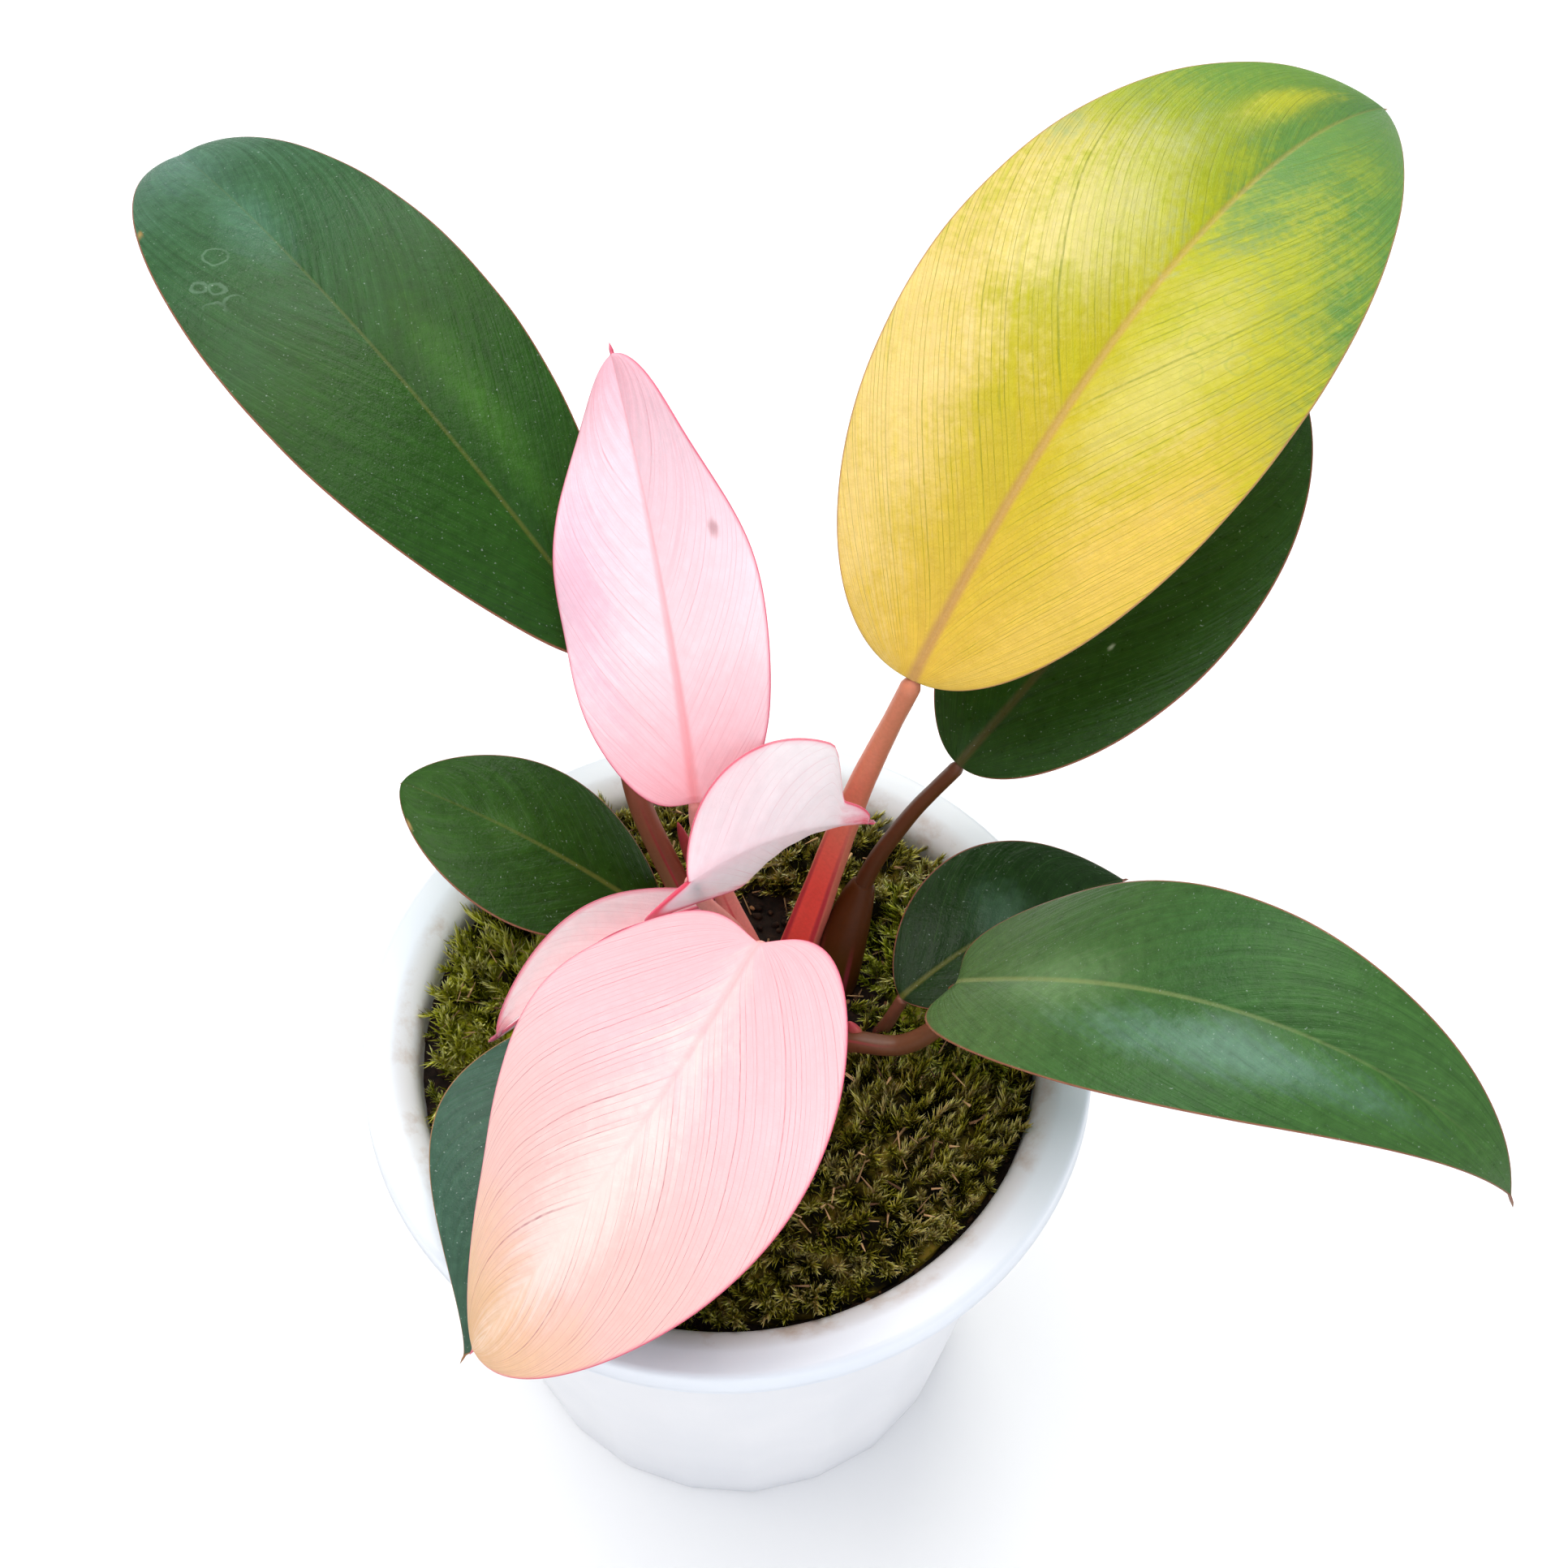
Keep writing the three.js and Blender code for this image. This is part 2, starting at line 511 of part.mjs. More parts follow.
// A tapered stalk along a curve, or a stretch of one, with a groove down its front.
function makeStalk(curve, radii, groove, extra = 0, from = 0, to = 1) {
  const { sides, step, grooveSide } = STALK;
  const steps = Math.max(5, Math.round((curve.getLength() * (to - from)) / step));
  const rings = [];
  for (let i = 0; i <= steps; i += 1) {
    const t = lerp(from, to, i / steps);
    const centre = curve.getPointAt(t);
    const along = curve.getTangentAt(t);
    const front = new THREE.Vector3(...grooveSide).projectOnPlane(along).normalize();
    const across = new THREE.Vector3().crossVectors(along, front);
    const radius = radii(t) + extra;
    rings.push(Array.from({ length: sides }, (_, k) => {
      const angle = (2 * Math.PI * k) / sides;
      const cut = 1 - groove(t) * Math.max(Math.cos(angle), 0) ** 6;
      return centre.clone()
        .addScaledVector(front, Math.cos(angle) * radius * cut)
        .addScaledVector(across, Math.sin(angle) * radius);
    }));
  }
  const start = curve.getPointAt(from).addScaledVector(curve.getTangentAt(from), -extra);
  const end = curve.getPointAt(to).addScaledVector(curve.getTangentAt(to), extra);
  return toSolid(loftRings(rings, start, end));
}

function makeStem(extra = 0) {
  const radius = STEM.radius + extra;
  const stem = new THREE.CylinderGeometry(radius * 0.7, radius, STEM.top - STEM.foot + extra, 10, 3);
  stem.rotateX(Math.PI / 2);
  stem.translate(STEM.x, STEM.y, (STEM.top + STEM.foot + extra) / 2);
  return toSolid(stem);
}

const plant = new THREE.Group();
plant.name = 'potted_pink_congo_philodendron';

function addPiece(name, solid, colour, roughness) {
  const material = new THREE.MeshStandardMaterial({ color: colour, roughness, metalness: 0 });
  const mesh = new THREE.Mesh(toGeometry(solid), material);
  mesh.name = name;
  plant.add(mesh);
}

// Each blade comes with the space round it that the stalks leave free.
const blades = LEAVES.map((leaf) => {
  const midrib = makeMidrib(leaf);
  const solid = makeBlade(leaf, midrib);
  return { leaf, midrib, solid, around: withClearance(solid) };
});

// The stalks and what wraps them are cut one by one, each clear of those that already stand.
const standing = [makeStem(GAP)];
for (const { leaf, midrib, around } of blades) {
  const curve = stalkCurve(leaf, midrib);
  const radii = (t) => lerp(leaf.thick[0], leaf.thick[1], Math.min(t * 1.15, 1) ** 0.8);
  const groove = (t) => leaf.sheath * clamp(1.4 - 2 * t, 0, 1);
  let stalk = makeStalk(curve, radii, groove).subtract(around);
  for (const other of standing) stalk = stalk.subtract(other);
  standing.push(makeStalk(curve, radii, () => 0, GAP));
  if (CATAPHYLL.stalk === leaf.name) {
    const { from, to, radius } = CATAPHYLL;
    const swell = (t) => {
      const share = (t - from) / (to - from);
      return lerp(radii(t), radius, Math.sin(Math.PI * clamp(share, 0.02, 0.98)) ** 0.6);
    };
    let sheath = makeStalk(curve, swell, () => 0, 0, from, to).subtract(standing.at(-1));
    for (const other of standing.slice(0, -1)) sheath = sheath.subtract(other);
    standing.push(makeStalk(curve, swell, () => 0, GAP, from, to));
    addPiece(`sheath_${leaf.name}`, sheath, CATAPHYLL.colour, 0.6);
  }
  addPiece(`petiole_${leaf.name}`, stalk, leaf.stalkColour, 0.45);
}

for (const { leaf, solid } of blades) addPiece(`blade_${leaf.name}`, solid, leaf.colour, 0.4);

let soil = makeSoil();
for (const other of standing) soil = soil.subtract(other);
addPiece('soil', soil, '#2c2119', 0.95);
addPiece('stem', makeStem(), '#6a4a34', 0.7);

const soilBelow = withClearance(makeSoil());
const mossReach = soilRadius(SOIL.edgeHeight - 2);
const potInside = toSolid(new THREE.CylinderGeometry(mossReach, mossReach, POT.height, 64)
  .rotateX(Math.PI / 2).translate(0, 0, POT.height));
let earlier = null;
for (const pad of MOSS_PADS) {
  let moss = makeMossPad(pad, soilBelow, potInside);
  for (const other of standing) moss = moss.subtract(other);
  if (earlier) moss = moss.subtract(earlier);
  const around = withClearance(moss);
  earlier = earlier ? earlier.add(around) : around;
  addPiece(pad.name, moss, '#6d7a2c', 0.95);
}

addPiece('pot', makePot(), '#f1f2f4', 0.35);

export default plant;
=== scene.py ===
import math
import random

import bmesh
import bpy
from mathutils import Matrix, Vector, noise


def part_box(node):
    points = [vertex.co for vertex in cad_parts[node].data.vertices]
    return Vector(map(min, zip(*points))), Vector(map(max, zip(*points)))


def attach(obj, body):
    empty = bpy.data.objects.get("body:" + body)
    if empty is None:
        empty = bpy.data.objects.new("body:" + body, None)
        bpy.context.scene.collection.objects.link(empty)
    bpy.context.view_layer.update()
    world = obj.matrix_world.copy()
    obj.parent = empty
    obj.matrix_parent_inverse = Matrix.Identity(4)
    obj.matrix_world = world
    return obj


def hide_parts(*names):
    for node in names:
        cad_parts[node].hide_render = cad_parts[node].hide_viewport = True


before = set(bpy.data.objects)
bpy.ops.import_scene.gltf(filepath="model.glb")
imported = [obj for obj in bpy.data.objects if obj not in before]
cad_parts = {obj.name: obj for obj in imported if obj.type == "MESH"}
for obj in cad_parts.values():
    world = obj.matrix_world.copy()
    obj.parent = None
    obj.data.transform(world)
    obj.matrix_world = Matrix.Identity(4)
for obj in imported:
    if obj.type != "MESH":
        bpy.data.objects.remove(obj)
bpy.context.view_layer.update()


# The pot
# A 6 inch nursery pot, injection moulded in white polypropylene: a thin tapered wall in soft upright
# panels, and a flat lip with a drop band under it, on which empty pots stand in each other.
MM = 0.001
rim_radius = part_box("pot")[1].x / MM
pot_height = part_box("pot")[1].z / MM
FOOT_RADIUS = 54
BODY_TOP_RADIUS = 68
MOUTH_RADIUS = 63.4
BAND_HEIGHT = 7
WALL = 2.3
POT_FLOOR = 3
PANELS = ((11, 0.08), (22, 0.85))
PANEL_TURN = math.radians(-85.5)
POT_STEPS = 22 * 12
DRAIN_RADIUS = 4
DRAIN_RING = 34


def linear(hex_colour):
    """An sRGB hex colour as the linear red, green, blue and alpha that a socket takes."""
    parts = [int(hex_colour[k:k + 2], 16) / 255 for k in (1, 3, 5)]
    return [p / 12.92 if p <= 0.04045 else ((p + 0.055) / 1.055) ** 2.4 for p in parts] + [1.0]


def add_node(tree, kind, inputs={}, out=None, stops=(), **settings):
    """Add a shader node, set and link its inputs, and return the output that is asked for."""
    new = tree.nodes.new("ShaderNode" + kind)
    for name, value in settings.items():
        setattr(new, name, value)
    for name, value in inputs.items():
        named = [s for s in new.inputs if s.enabled and s.name == name]
        socket = named[0] if named else new.inputs[name]
        if isinstance(value, bpy.types.NodeSocket):
            tree.links.new(value, socket)
        else:
            socket.default_value = value
    for k, (position, colour) in enumerate(stops):
        ramp = new.color_ramp.elements
        stop = ramp[k] if k < 2 else ramp.new(position)
        stop.position = position
        stop.color = linear(colour)
    return next(s for s in new.outputs if s.enabled and out in (None, s.name))


def new_material(name, **sockets):
    """A material with a Principled shader whose plain values are set, and its node tree."""
    made = bpy.data.materials.new(name)
    made.use_nodes = True
    shader = made.node_tree.nodes["Principled BSDF"]
    for socket, value in sockets.items():
        shader.inputs[socket.replace("_", " ")].default_value = value
    return made, made.node_tree, shader


def new_piece(name, mesh_data, material, slot, *nodes):
    """Make a piece of a bmesh, at the origin, that stands for the frame's nodes named last."""
    mesh = bpy.data.meshes.new(name)
    mesh_data.to_mesh(mesh)
    mesh_data.free()
    mesh.materials.append(material)
    mesh.shade_smooth()
    piece = bpy.data.objects.new(name, mesh)
    bpy.context.scene.collection.objects.link(piece)
    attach(piece, "root")
    if nodes:
        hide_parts(*nodes)
    return piece


def lerp(a, b, share):
    return a + (b - a) * share


band_foot = pot_height - BAND_HEIGHT
outside = [(0, 0.8), (FOOT_RADIUS - 6, 0.8), (FOOT_RADIUS - 4.6, 0), (FOOT_RADIUS - 1.4, 0)]
outside += [(FOOT_RADIUS - 0.4, 0.4), (FOOT_RADIUS, 1.4)]
outside += [(lerp(FOOT_RADIUS, BODY_TOP_RADIUS, k / 24), lerp(1.4, band_foot - 2.2, k / 24)) for k in range(1, 25)]
outside += [(BODY_TOP_RADIUS + 1.2, band_foot - 0.9), (BODY_TOP_RADIUS + 3, band_foot - 0.7)]
outside += [(rim_radius - 1.8, band_foot - 0.4), (rim_radius - 0.6, band_foot - 0.1), (rim_radius, band_foot + 0.5)]
outside += [(rim_radius - 0.35, band_foot + 1.2), (rim_radius - 0.35, pot_height - 1.9)]
lip = [(rim_radius - 1.6 + 1.25 * math.cos(math.radians(a)), pot_height - 1.5 + 1.5 * math.sin(math.radians(a)))
       for a in (15, 40, 65, 90)]
lip += [(rim_radius - 3.5, pot_height - 0.02), (rim_radius - 5.6, pot_height - 0.1)]
lip += [(rim_radius - 6.5, pot_height - 0.3), (rim_radius - 7.6, pot_height - 0.8)]
lip += [(rim_radius - 8.9, pot_height - 1.5), (rim_radius - 10.1, pot_height - 2.4)]
lip += [(MOUTH_RADIUS + 0.7, pot_height - 3.4), (MOUTH_RADIUS + 0.15, pot_height - 4.8)]
inside = [(lerp(MOUTH_RADIUS, FOOT_RADIUS - WALL, (k / 14) ** 0.8), lerp(pot_height - 6.5, POT_FLOOR + 1.5, k / 14))
          for k in range(15)]
inside += [(FOOT_RADIUS - WALL - 1.5, POT_FLOOR), (0, POT_FLOOR)]

pot_shell = bmesh.new()
ring = [pot_shell.verts.new((r * MM, 0, z * MM)) for r, z in outside + lip + inside]
edges = [pot_shell.edges.new(pair) for pair in zip(ring, ring[1:])]
bmesh.ops.spin(pot_shell, geom=ring + edges, cent=(0, 0, 0), axis=(0, 0, 1), dvec=(0, 0, 0),
               angle=2 * math.pi, steps=POT_STEPS, use_merge=True)
bmesh.ops.remove_doubles(pot_shell, verts=pot_shell.verts, dist=1e-6)
for vert in pot_shell.verts:
    radius = vert.co.xy.length / MM
    height = vert.co.z / MM
    wall = lerp(FOOT_RADIUS, BODY_TOP_RADIUS, height / band_foot)
    if radius > wall - WALL / 2 and height < band_foot - 1.5:
        for count, depth in PANELS:
            side = 2 * math.pi / count
            across = ((math.atan2(vert.co.y, vert.co.x) - PANEL_TURN) / side) % 1 - 0.5
            chord = math.cos(side / 2) / math.cos(across * side)
            vert.co.xy *= lerp(1, chord, depth * min(1, (band_foot - height) / 10))
bmesh.ops.recalc_face_normals(pot_shell, faces=pot_shell.faces)

# Moulded polypropylene lets a little light in, and its skin is half gloss with a fine flow grain.
# Watering has left brown stains on the inner edge of the lip, and there are dark specks of soil.
pot_plastic, tree, shader = new_material(
    "moulded_white_polypropylene", Roughness=0.36, IOR=1.49, Subsurface_Weight=0.12,
    Subsurface_Scale=4 * MM)
shader.inputs["Subsurface Radius"].default_value = (1.0, 0.95, 0.9)
place = add_node(tree, "TexCoord", out="Object")
cloud = add_node(tree, "TexNoise", {"Vector": place, "Scale": 1 / (40 * MM), "Detail": 3.0}, out="Fac")
white = add_node(tree, "ValToRGB", {"Fac": cloud}, stops=[(0.3, "#e3e9f1"), (0.7, "#eef2f8")])
drip = add_node(tree, "TexNoise", {"Vector": place, "Scale": 1 / (11 * MM), "Detail": 8.0, "Roughness": 0.65}, out="Fac")
apart = add_node(tree, "SeparateXYZ", {"Vector": place}, out="Z")
flat = add_node(tree, "VectorMath", {0: place, 1: (1, 1, 0)}, operation="MULTIPLY", out="Vector")
from_axis = add_node(tree, "VectorMath", {0: flat}, operation="LENGTH", out="Value")
inner = add_node(tree, "MapRange", {"Value": from_axis, "From Min": 69.5 * MM, "From Max": 66 * MM,
                                    "To Min": 0.0, "To Max": 1.0}, interpolation_type="SMOOTHSTEP", out="Result")
upper = add_node(tree, "MapRange", {"Value": apart, "From Min": 112 * MM, "From Max": 122 * MM,
                                    "To Min": 0.0, "To Max": 1.0}, interpolation_type="SMOOTHSTEP", out="Result")
patchy = add_node(tree, "MapRange", {"Value": drip, "From Min": 0.5, "From Max": 0.75,
                                     "To Min": 0.0, "To Max": 0.85}, out="Result")
stain = add_node(tree, "Math", {0: inner, 1: upper}, operation="MULTIPLY")
stain = add_node(tree, "Math", {0: stain, 1: patchy}, operation="MULTIPLY")
stained = add_node(tree, "Mix", {"Factor": stain, "A": white, "B": linear("#a98767")}, data_type="RGBA")
warm_edge = add_node(tree, "Math", {0: inner, 1: 0.18}, operation="MULTIPLY")
warmed = add_node(tree, "Mix", {"Factor": warm_edge, "A": stained, "B": linear("#d9c3ae")}, data_type="RGBA")
dots = add_node(tree, "TexVoronoi", {"Vector": place, "Scale": 1 / (13 * MM)}, out="Distance")
speck = add_node(tree, "MapRange", {"Value": dots, "From Min": 0.032, "From Max": 0.022,
                                    "To Min": 0.0, "To Max": 0.75}, out="Result")
speck = add_node(tree, "Math", {0: speck, 1: upper}, operation="MULTIPLY")
specked = add_node(tree, "Mix", {"Factor": speck, "A": warmed, "B": linear("#3a3028")}, data_type="RGBA")
tree.links.new(specked, shader.inputs["Base Color"])
grain = add_node(tree, "TexNoise", {"Vector": place, "Scale": 1 / (0.9 * MM), "Detail": 2.0}, out="Fac")
fine = add_node(tree, "Bump", {"Height": grain, "Strength": 0.08, "Distance": 0.1 * MM}, out="Normal")
tree.links.new(fine, shader.inputs["Normal"])

pot = new_piece("pot_shell", pot_shell, pot_plastic, "pot", "pot")
drains = bmesh.new()
for k in range(6):
    angle = k * math.pi / 3
    spot = Matrix.Translation((DRAIN_RING * math.cos(angle) * MM, DRAIN_RING * math.sin(angle) * MM, 0))
    bmesh.ops.create_cone(drains, cap_ends=True, segments=32, radius1=DRAIN_RADIUS * MM, radius2=DRAIN_RADIUS * MM,
                          depth=12 * MM, matrix=spot)
drain_mesh = bpy.data.meshes.new("drain_cutter")
drains.to_mesh(drain_mesh)
drains.free()
drain_cutter = bpy.data.objects.new("drain_cutter", drain_mesh)
bpy.context.scene.collection.objects.link(drain_cutter)
cut = pot.modifiers.new("drain_holes", "BOOLEAN")
cut.object = drain_cutter
cut.solver = "EXACT"
whole = bpy.data.meshes.new_from_object(pot.evaluated_get(bpy.context.evaluated_depsgraph_get()))
pot.modifiers.clear()
pot.data = whole
bpy.data.objects.remove(drain_cutter)


# The soil
# Dark, moist potting mix of peat, bark fines and coir that fills the pot to just under the lip.
# It lies in crumbs, with a few paler bits of bark, and is pressed up a little round the stem.
SOIL_EDGE = 119.5
SOIL_SWELL = 2.5
SOIL_REACH = 65.8
SOIL_RADIUS = 63.6


def soil_height(x, y):
    """Height of the soil in mm at a place in the pot."""
    out = math.hypot(x, y) / SOIL_REACH
    lumps = math.sin(x * 0.21 + 1) * math.cos(y * 0.17 + x * 0.05) + math.sin((x + y) * 0.11)
    return SOIL_EDGE + SOIL_SWELL * (1 - out * out) + 0.7 * lumps * (1 - out)


def wrapped_skin(around, along, marks, place):
    """A closed skin: a grid whose corners place() moves, in mm, merged at its seam and its ends.

    place() takes a corner's share of the way around and along, and also returns the marks' values.
    """
    skin = bmesh.new()
    bmesh.ops.create_grid(skin, x_segments=around, y_segments=along, size=0.5)
    layers = [skin.verts.layers.float.new(name) for name in marks]
    for vert in skin.verts:
        spot, values = place(vert.co.x + 0.5, vert.co.y + 0.5)
        vert.co = Vector(spot) * MM
        for layer, value in zip(layers, values):
            vert[layer] = value
    bmesh.ops.remove_doubles(skin, verts=skin.verts, dist=1e-6)
    bmesh.ops.recalc_face_normals(skin, faces=skin.faces)
    return skin


def soil_place(a, b):
    """The soil's top from its middle out for three quarters of b, then its side and its floor."""
    turn = 2 * math.pi * a
    if b < 0.75:
        radius = SOIL_RADIUS * b / 0.75
        x = radius * math.cos(turn)
        y = radius * math.sin(turn)
        crumbs = noise.fractal(Vector((x, y, 0)) / 2.6, 1.0, 2.0, 5) * 0.9
        return (x, y, soil_height(x, y) + crumbs - 0.2), (0.0,)
    share = (b - 0.75) / 0.25
    down = min(share / 0.6, 1)
    radius = lerp(SOIL_RADIUS, FOOT_RADIUS - WALL - 0.5, down) * (1 if share < 0.6 else max(1 - (share - 0.6) / 0.4, 0))
    return (radius * math.cos(turn), radius * math.sin(turn), lerp(SOIL_EDGE, POT_FLOOR + 0.3, down)), (0.0,)


soil_skin = wrapped_skin(150, 84, ["tone"], soil_place)
tone = soil_skin.verts.layers.float["tone"]
draw = random.Random(11)
for _ in range(1100):
    radius = 63.5 * math.sqrt(draw.random())
    turn = draw.uniform(0, 2 * math.pi)
    x = radius * math.cos(turn)
    y = radius * math.sin(turn)
    size = draw.uniform(0.35, 1.3) * (1.5 if draw.random() < 0.12 else 1)
    squash = Matrix.Diagonal((draw.uniform(0.7, 1.5), draw.uniform(0.6, 1), draw.uniform(0.4, 0.8), 1))
    turned = Matrix.Rotation(draw.uniform(0, 6.28), 4, "Z") @ Matrix.Rotation(draw.uniform(-0.6, 0.6), 4, "X")
    spot = Matrix.Translation(Vector((x, y, soil_height(x, y) + 0.15)) * MM)
    crumb = bmesh.ops.create_icosphere(soil_skin, subdivisions=1, radius=size * MM, matrix=spot @ turned @ squash)
    shade = 1.0 if draw.random() < 0.09 else draw.uniform(0, 0.45)
    for vert in crumb["verts"]:
        vert.co += noise.noise_vector(vert.co / (0.9 * MM)) * size * 0.22 * MM
        vert[tone] = shade

potting_mix, tree, shader = new_material("moist_potting_mix", Roughness=0.88, IOR=1.4)
shader.inputs["Specular IOR Level"].default_value = 0.25
place = add_node(tree, "TexCoord", out="Object")
tone_of_crumb = add_node(tree, "Attribute", out="Fac", attribute_name="tone")
grit = add_node(tree, "TexNoise", {"Vector": place, "Scale": 1 / (1.6 * MM), "Detail": 6.0}, out="Fac")
grit_spread = add_node(tree, "MapRange", {"Value": grit, "From Min": 0.3, "From Max": 0.75,
                                          "To Min": 0.0, "To Max": 0.5}, out="Result")
mixed = add_node(tree, "Math", {0: tone_of_crumb, 1: grit_spread}, operation="ADD")
earth = add_node(tree, "ValToRGB", {"Fac": mixed}, stops=[
    (0.0, "#0d0907"), (1.0, "#8a6242"), (0.35, "#241811"), (0.7, "#3c281b")])
tree.links.new(earth, shader.inputs["Base Color"])
rough = add_node(tree, "Bump", {"Height": grit, "Strength": 0.7, "Distance": 0.6 * MM}, out="Normal")
tree.links.new(rough, shader.inputs["Normal"])
new_piece("potting_soil", soil_skin, potting_mix, "soil", "soil")


# The moss
# Living cushion moss laid on the soil in pads. Each pad is a low mound of star-like shoots with
# narrow pointed leaves, yellow-green at the top, olive lower down and near-black towards the soil,
# partly their own colour and partly painted shade, and brown where they dry.
MOSS_PADS = [
    {"name": "moss_front", "x": 24, "y": -33, "long": 41, "wide": 26, "turn": 24, "height": 8,
     "size": 1.35, "dry": 0.75, "tones": ("#0e0a02", "#38300a", "#7c7416", "#c6bc38", "#f2ec80")},
    {"name": "moss_front_left", "x": -27, "y": -35, "long": 31, "wide": 24, "turn": -42, "height": 6.5,
     "size": 1.35, "dry": 0.5, "tones": ("#141005", "#453f0c", "#959222", "#dcd554", "#f5f3a0")},
    {"name": "moss_left", "x": -44, "y": 10, "long": 24, "wide": 17, "turn": 82, "height": 7.5,
     "size": 1.75, "dry": 0.1, "tones": ("#1d1a06", "#62640f", "#bcc02a", "#f0f254", "#f7f58a")},
    {"name": "moss_back_left", "x": -24, "y": 44, "long": 22, "wide": 13, "turn": 32, "height": 6.5,
     "size": 1.3, "dry": 0.45, "tones": ("#1a1606", "#564e12", "#aca02c", "#f3e860", "#f5f298")},
    {"name": "moss_back_right", "x": 22, "y": 46, "long": 24, "wide": 14, "turn": -24, "height": 6.5,
     "size": 1.25, "dry": 0.5, "tones": ("#171305", "#4a4210", "#9a902c", "#e2d55c", "#f5f2a4")},
    {"name": "moss_right", "x": 46, "y": 14, "long": 24, "wide": 14, "turn": 96, "height": 6.5,
     "size": 1.45, "dry": 0.2, "tones": ("#131204", "#47490b", "#909c1c", "#dce644", "#f2f488")},
]
SHOOT_SPACING = 2.05
SHOOT_LEAVES = 26
SHOOT_KINDS = 6
MOSS_LIMIT = 61.8
GOLDEN_ANGLE = math.radians(137.5)
BARE_SPOTS = [(12, 12, 12), (7, 30, 8), (60, -11, 7), (50, -42, 5), (44, 51, 5)]


def moss_shoot(draw):
    """A mesh of one shoot: narrow three-sided leaves up a short stem, swept towards its tip."""
    shoot = bmesh.new()
    tipward = shoot.verts.layers.float.new("tipward")
    bow = draw.uniform(0.2, 0.7)
    for k in range(SHOOT_LEAVES):
        share = k / (SHOOT_LEAVES - 1)
        size = lerp(2.5, 1.8, share) * draw.uniform(0.85, 1.15)
        lean = math.radians(lerp(56, 12, share ** 0.9) + draw.uniform(-8, 8))
        stem = Matrix.Rotation(bow * share, 4, "Y") @ Matrix.Translation((0, 0, 4.6 * share * MM))
        bent = Matrix.Rotation(k * GOLDEN_ANGLE, 4, "Z") @ Matrix.Rotation(lean, 4, "Y")
        blade = Matrix.Translation((0, 0, size / 2 * MM)) @ Matrix.Diagonal((0.5, 1.1, 1, 1))
        leaf = bmesh.ops.create_cone(shoot, cap_ends=True, segments=3, radius1=0.27 * MM, radius2=0.02 * MM,
                                     depth=size * MM, matrix=stem @ bent @ blade)
        foot = stem.translation
        for vert in leaf["verts"]:
            # Low values at the lower leaves and at each leaf's foot turn near-black in the moss colours: partly the
            # shoots' own darker bases, partly painted shade deep in the cushion.
            vert[tipward] = 0.12 + 0.4 * share + 0.48 * min((vert.co - foot).length / (size * MM), 1)
    bmesh.ops.remove_doubles(shoot, verts=shoot.verts, dist=0.02 * MM)
    bmesh.ops.recalc_face_normals(shoot, faces=shoot.faces)
    mesh = bpy.data.meshes.new("shoot")
    shoot.to_mesh(mesh)
    shoot.free()
    return mesh


def plant_shoot(bed, kinds, draw, x, y, up, size, outward):
    """Set one shoot in the bed, leaning outwards by the given vector and a little at random."""
    room = min(1, max(MOSS_LIMIT + 2 - 3 * (size - 1) - math.hypot(x, y), 0) / (7 * size))
    lean_x = (outward.x + draw.uniform(-0.45, 0.45)) * room
    lean_y = (outward.y + draw.uniform(-0.45, 0.45)) * room
    stand = Matrix.Translation(Vector((x, y, up)) * MM)
    lean = Matrix.Rotation(-lean_y, 4, "X") @ Matrix.Rotation(lean_x, 4, "Y")
    copy = kinds[draw.randrange(SHOOT_KINDS)].copy()
    copy.transform(stand @ lean @ Matrix.Rotation(draw.uniform(0, 6.28), 4, "Z") @ Matrix.Scale(size, 4))
    bed.from_mesh(copy)
    bpy.data.meshes.remove(copy)


def moss_pad(pad):
    """The pad's mound, as a skin over the soil, with its shoots standing in it."""
    draw = random.Random(pad["name"])
    turn = math.radians(pad["turn"])

    def spot(across, along):
        x = pad["x"] + across * pad["long"] * math.cos(turn) - along * pad["wide"] * math.sin(turn)
        y = pad["y"] + across * pad["long"] * math.sin(turn) + along * pad["wide"] * math.cos(turn)
        pull = min(1, MOSS_LIMIT / math.hypot(x, y))
        return x * pull, y * pull

    def rise(x, y, share):
        clumps = noise.noise(Vector((x, y, 0)) / 5) * 5 + noise.noise(Vector((x, y, 3)) / 2.5) * 1.4
        return (pad["height"] * 0.42 * math.sqrt(max(1 - min(share, 1) ** 2.2, 0))
                + clumps * (1 - min(share, 1) ** 4))

    def mound_place(a, b):
        angle = 2 * math.pi * a
        share = math.sin(math.pi * b)
        x, y = spot(share * 0.97 * math.cos(angle), share * 0.97 * math.sin(angle))
        up = rise(x, y, share) if b < 0.5 else -2
        # The mound's skin under the shoots takes the dark end of the moss colours: a sheet of painted shade between the
        # shoots.
        return (x, y, soil_height(x, y) + up), (0.1,)

    bed = wrapped_skin(60, 36, ["tipward"], mound_place)
    kinds = [moss_shoot(draw) for _ in range(SHOOT_KINDS)]
    spacing = SHOOT_SPACING * pad["size"] ** 0.6
    steps = int(pad["long"] * 1.3 / spacing)
    for row in range(-steps, steps + 1):
        for column in range(-steps, steps + 1):
            across = (column + 0.5 * (row % 2) + draw.uniform(-0.4, 0.4)) * spacing / pad["long"]
            along = (row * 0.87 + draw.uniform(-0.4, 0.4)) * spacing / pad["wide"]
            share = math.hypot(across, along)
            keep = draw.random()
            if share > 1.2 or (share > 1 and keep > 0.4) or keep > 0.97:
                continue
            x, y = spot(across, along)
            if math.hypot(x, y) > MOSS_LIMIT - 3.4 * max(pad["size"] - 1.3, 0) - 0.8 * keep:
                continue
            outward = Vector((x - pad["x"], y - pad["y"])) * (0.75 / pad["wide"])
            up = soil_height(x, y) + rise(x, y, share) - 0.9
            plant_shoot(bed, kinds, draw, x, y, up, pad["size"] * draw.uniform(0.7, 1.15), outward)
    for mesh in kinds:
        bpy.data.meshes.remove(mesh)
    return bed


